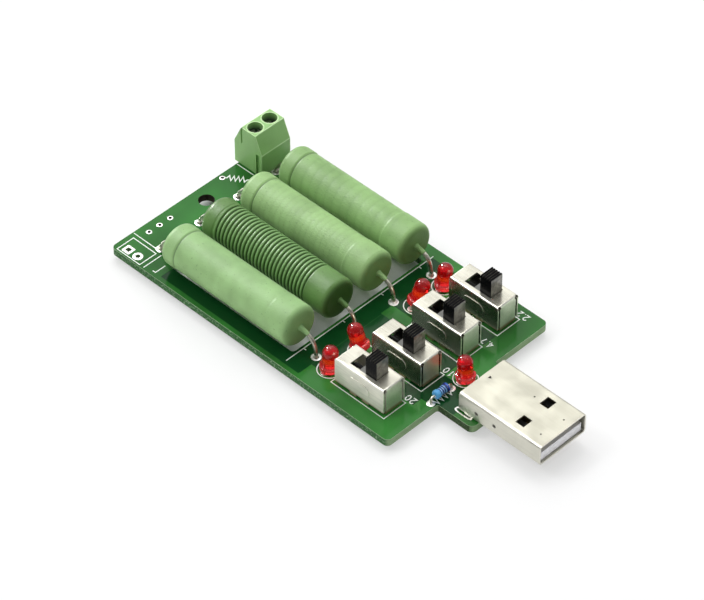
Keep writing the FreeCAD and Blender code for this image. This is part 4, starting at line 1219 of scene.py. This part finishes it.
# white paper: the camera, gloss and clear plastic see its shading mixed with plain white, which
# keeps half of each shadow; below the board's window it keeps its full shadow
def paperMaterial():
    material, shader, tree = newMaterial("whitePaper", studio["paperTone"], 0.0, 0.9,
                                         Specular_IOR_Level=0.0)
    halfX, halfY = studio["windowHalf"]
    underBoard = useGroup(tree, areaMask, {"Point": objectPoint(tree), "Edge": studio["windowEdge"] * mm,
                                           "Centre": tuple(place(studio["windowMiddle"])),
                                           "Half Size": (halfX * mm, halfY * mm, 1.0)})["Mask"]
    rays = addNode(tree, "LightPath").outputs
    seen = mathNode(tree, "MAXIMUM", rays["Is Camera Ray"],
                    mathNode(tree, "MAXIMUM", rays["Is Glossy Ray"], rays["Is Transmission Ray"]))
    white = mathNode(tree, "MULTIPLY", seen, remap(tree, underBoard, 0.0, 1.0, studio["whitening"], 0.0))
    glow = addNode(tree, "Emission", Color=(1, 1, 1, 1), Strength=1.0)
    blend = addNode(tree, "MixShader", i0=white, i1=shader.outputs[0], i2=glow.outputs[0])
    tree.links.new(blend.outputs[0], tree.nodes["Material Output"].inputs["Surface"])
    return material


half = studio["paperHalf"]
floorData = newMesh("floor", [(-half, -half, 0), (half, -half, 0), (half, half, 0), (-half, half, 0)],
                    [(0, 1, 2, 3)])
floorData.materials.append(paperMaterial())
floor = newObject("floor", floorData)

world = bpy.data.worlds.new("studio")
bpy.context.scene.world = world
world.use_nodes = True
sky = world.node_tree.nodes["Background"].inputs
sky["Color"].default_value = (1, 1, 1, 1)
towards = addNode(world.node_tree, "VectorMath", {"operation": "DOT_PRODUCT"},
                  i0=addNode(world.node_tree, "TexCoord").outputs["Generated"], i1=studio["skyTowards"])
world.node_tree.links.new(remap(world.node_tree, towards.outputs["Value"], -0.2, 0.9,
                                studio["skyDim"], studio["skyBright"]), sky["Strength"])


# a soft box that looks at the frame's origin, with its place and size in m and its watts
def areaLight(name, position, sizeX, sizeY, power, colour=(1, 1, 1)):
    data = bpy.data.lights.new(name, "AREA")
    data.shape = "RECTANGLE"
    data.size, data.size_y = sizeX, sizeY
    data.energy = power
    data.color = colour
    light = newObject(name, data)
    light.location = Vector(position)
    light.rotation_euler = (-Vector(position)).to_track_quat("-Z", "Y").to_euler()
    return light


farLight = areaLight("farSoftbox", (-0.6, 0.6, 0.85), 0.9, 0.9, 2.2, (1.0, 0.99, 0.965))
topLight = areaLight("overheadSoftbox", (-0.18, 0.22, 0.9), 0.3, 0.3, 1.4)
leftLight = areaLight("leftSoftbox", (-0.5, -0.45, 0.78), 0.34, 0.34, 2.6)
stripLight = areaLight("stripGlint", (-0.42, 0.1, 0.7), 0.22, 0.04, 0.5)
sideGlint = areaLight("sideGlint", (0.25, 0.45, 0.75), 0.05, 0.12, 0.35)
# seen only as a highlight on gloss
lampGlint = areaLight("lampGlint", (-0.84, 0.034, 0.52), 0.14, 0.14, 30.0)
lampGlint.visible_diffuse = False
bpy.context.scene.view_settings.view_transform = "Standard"

print("scene built")
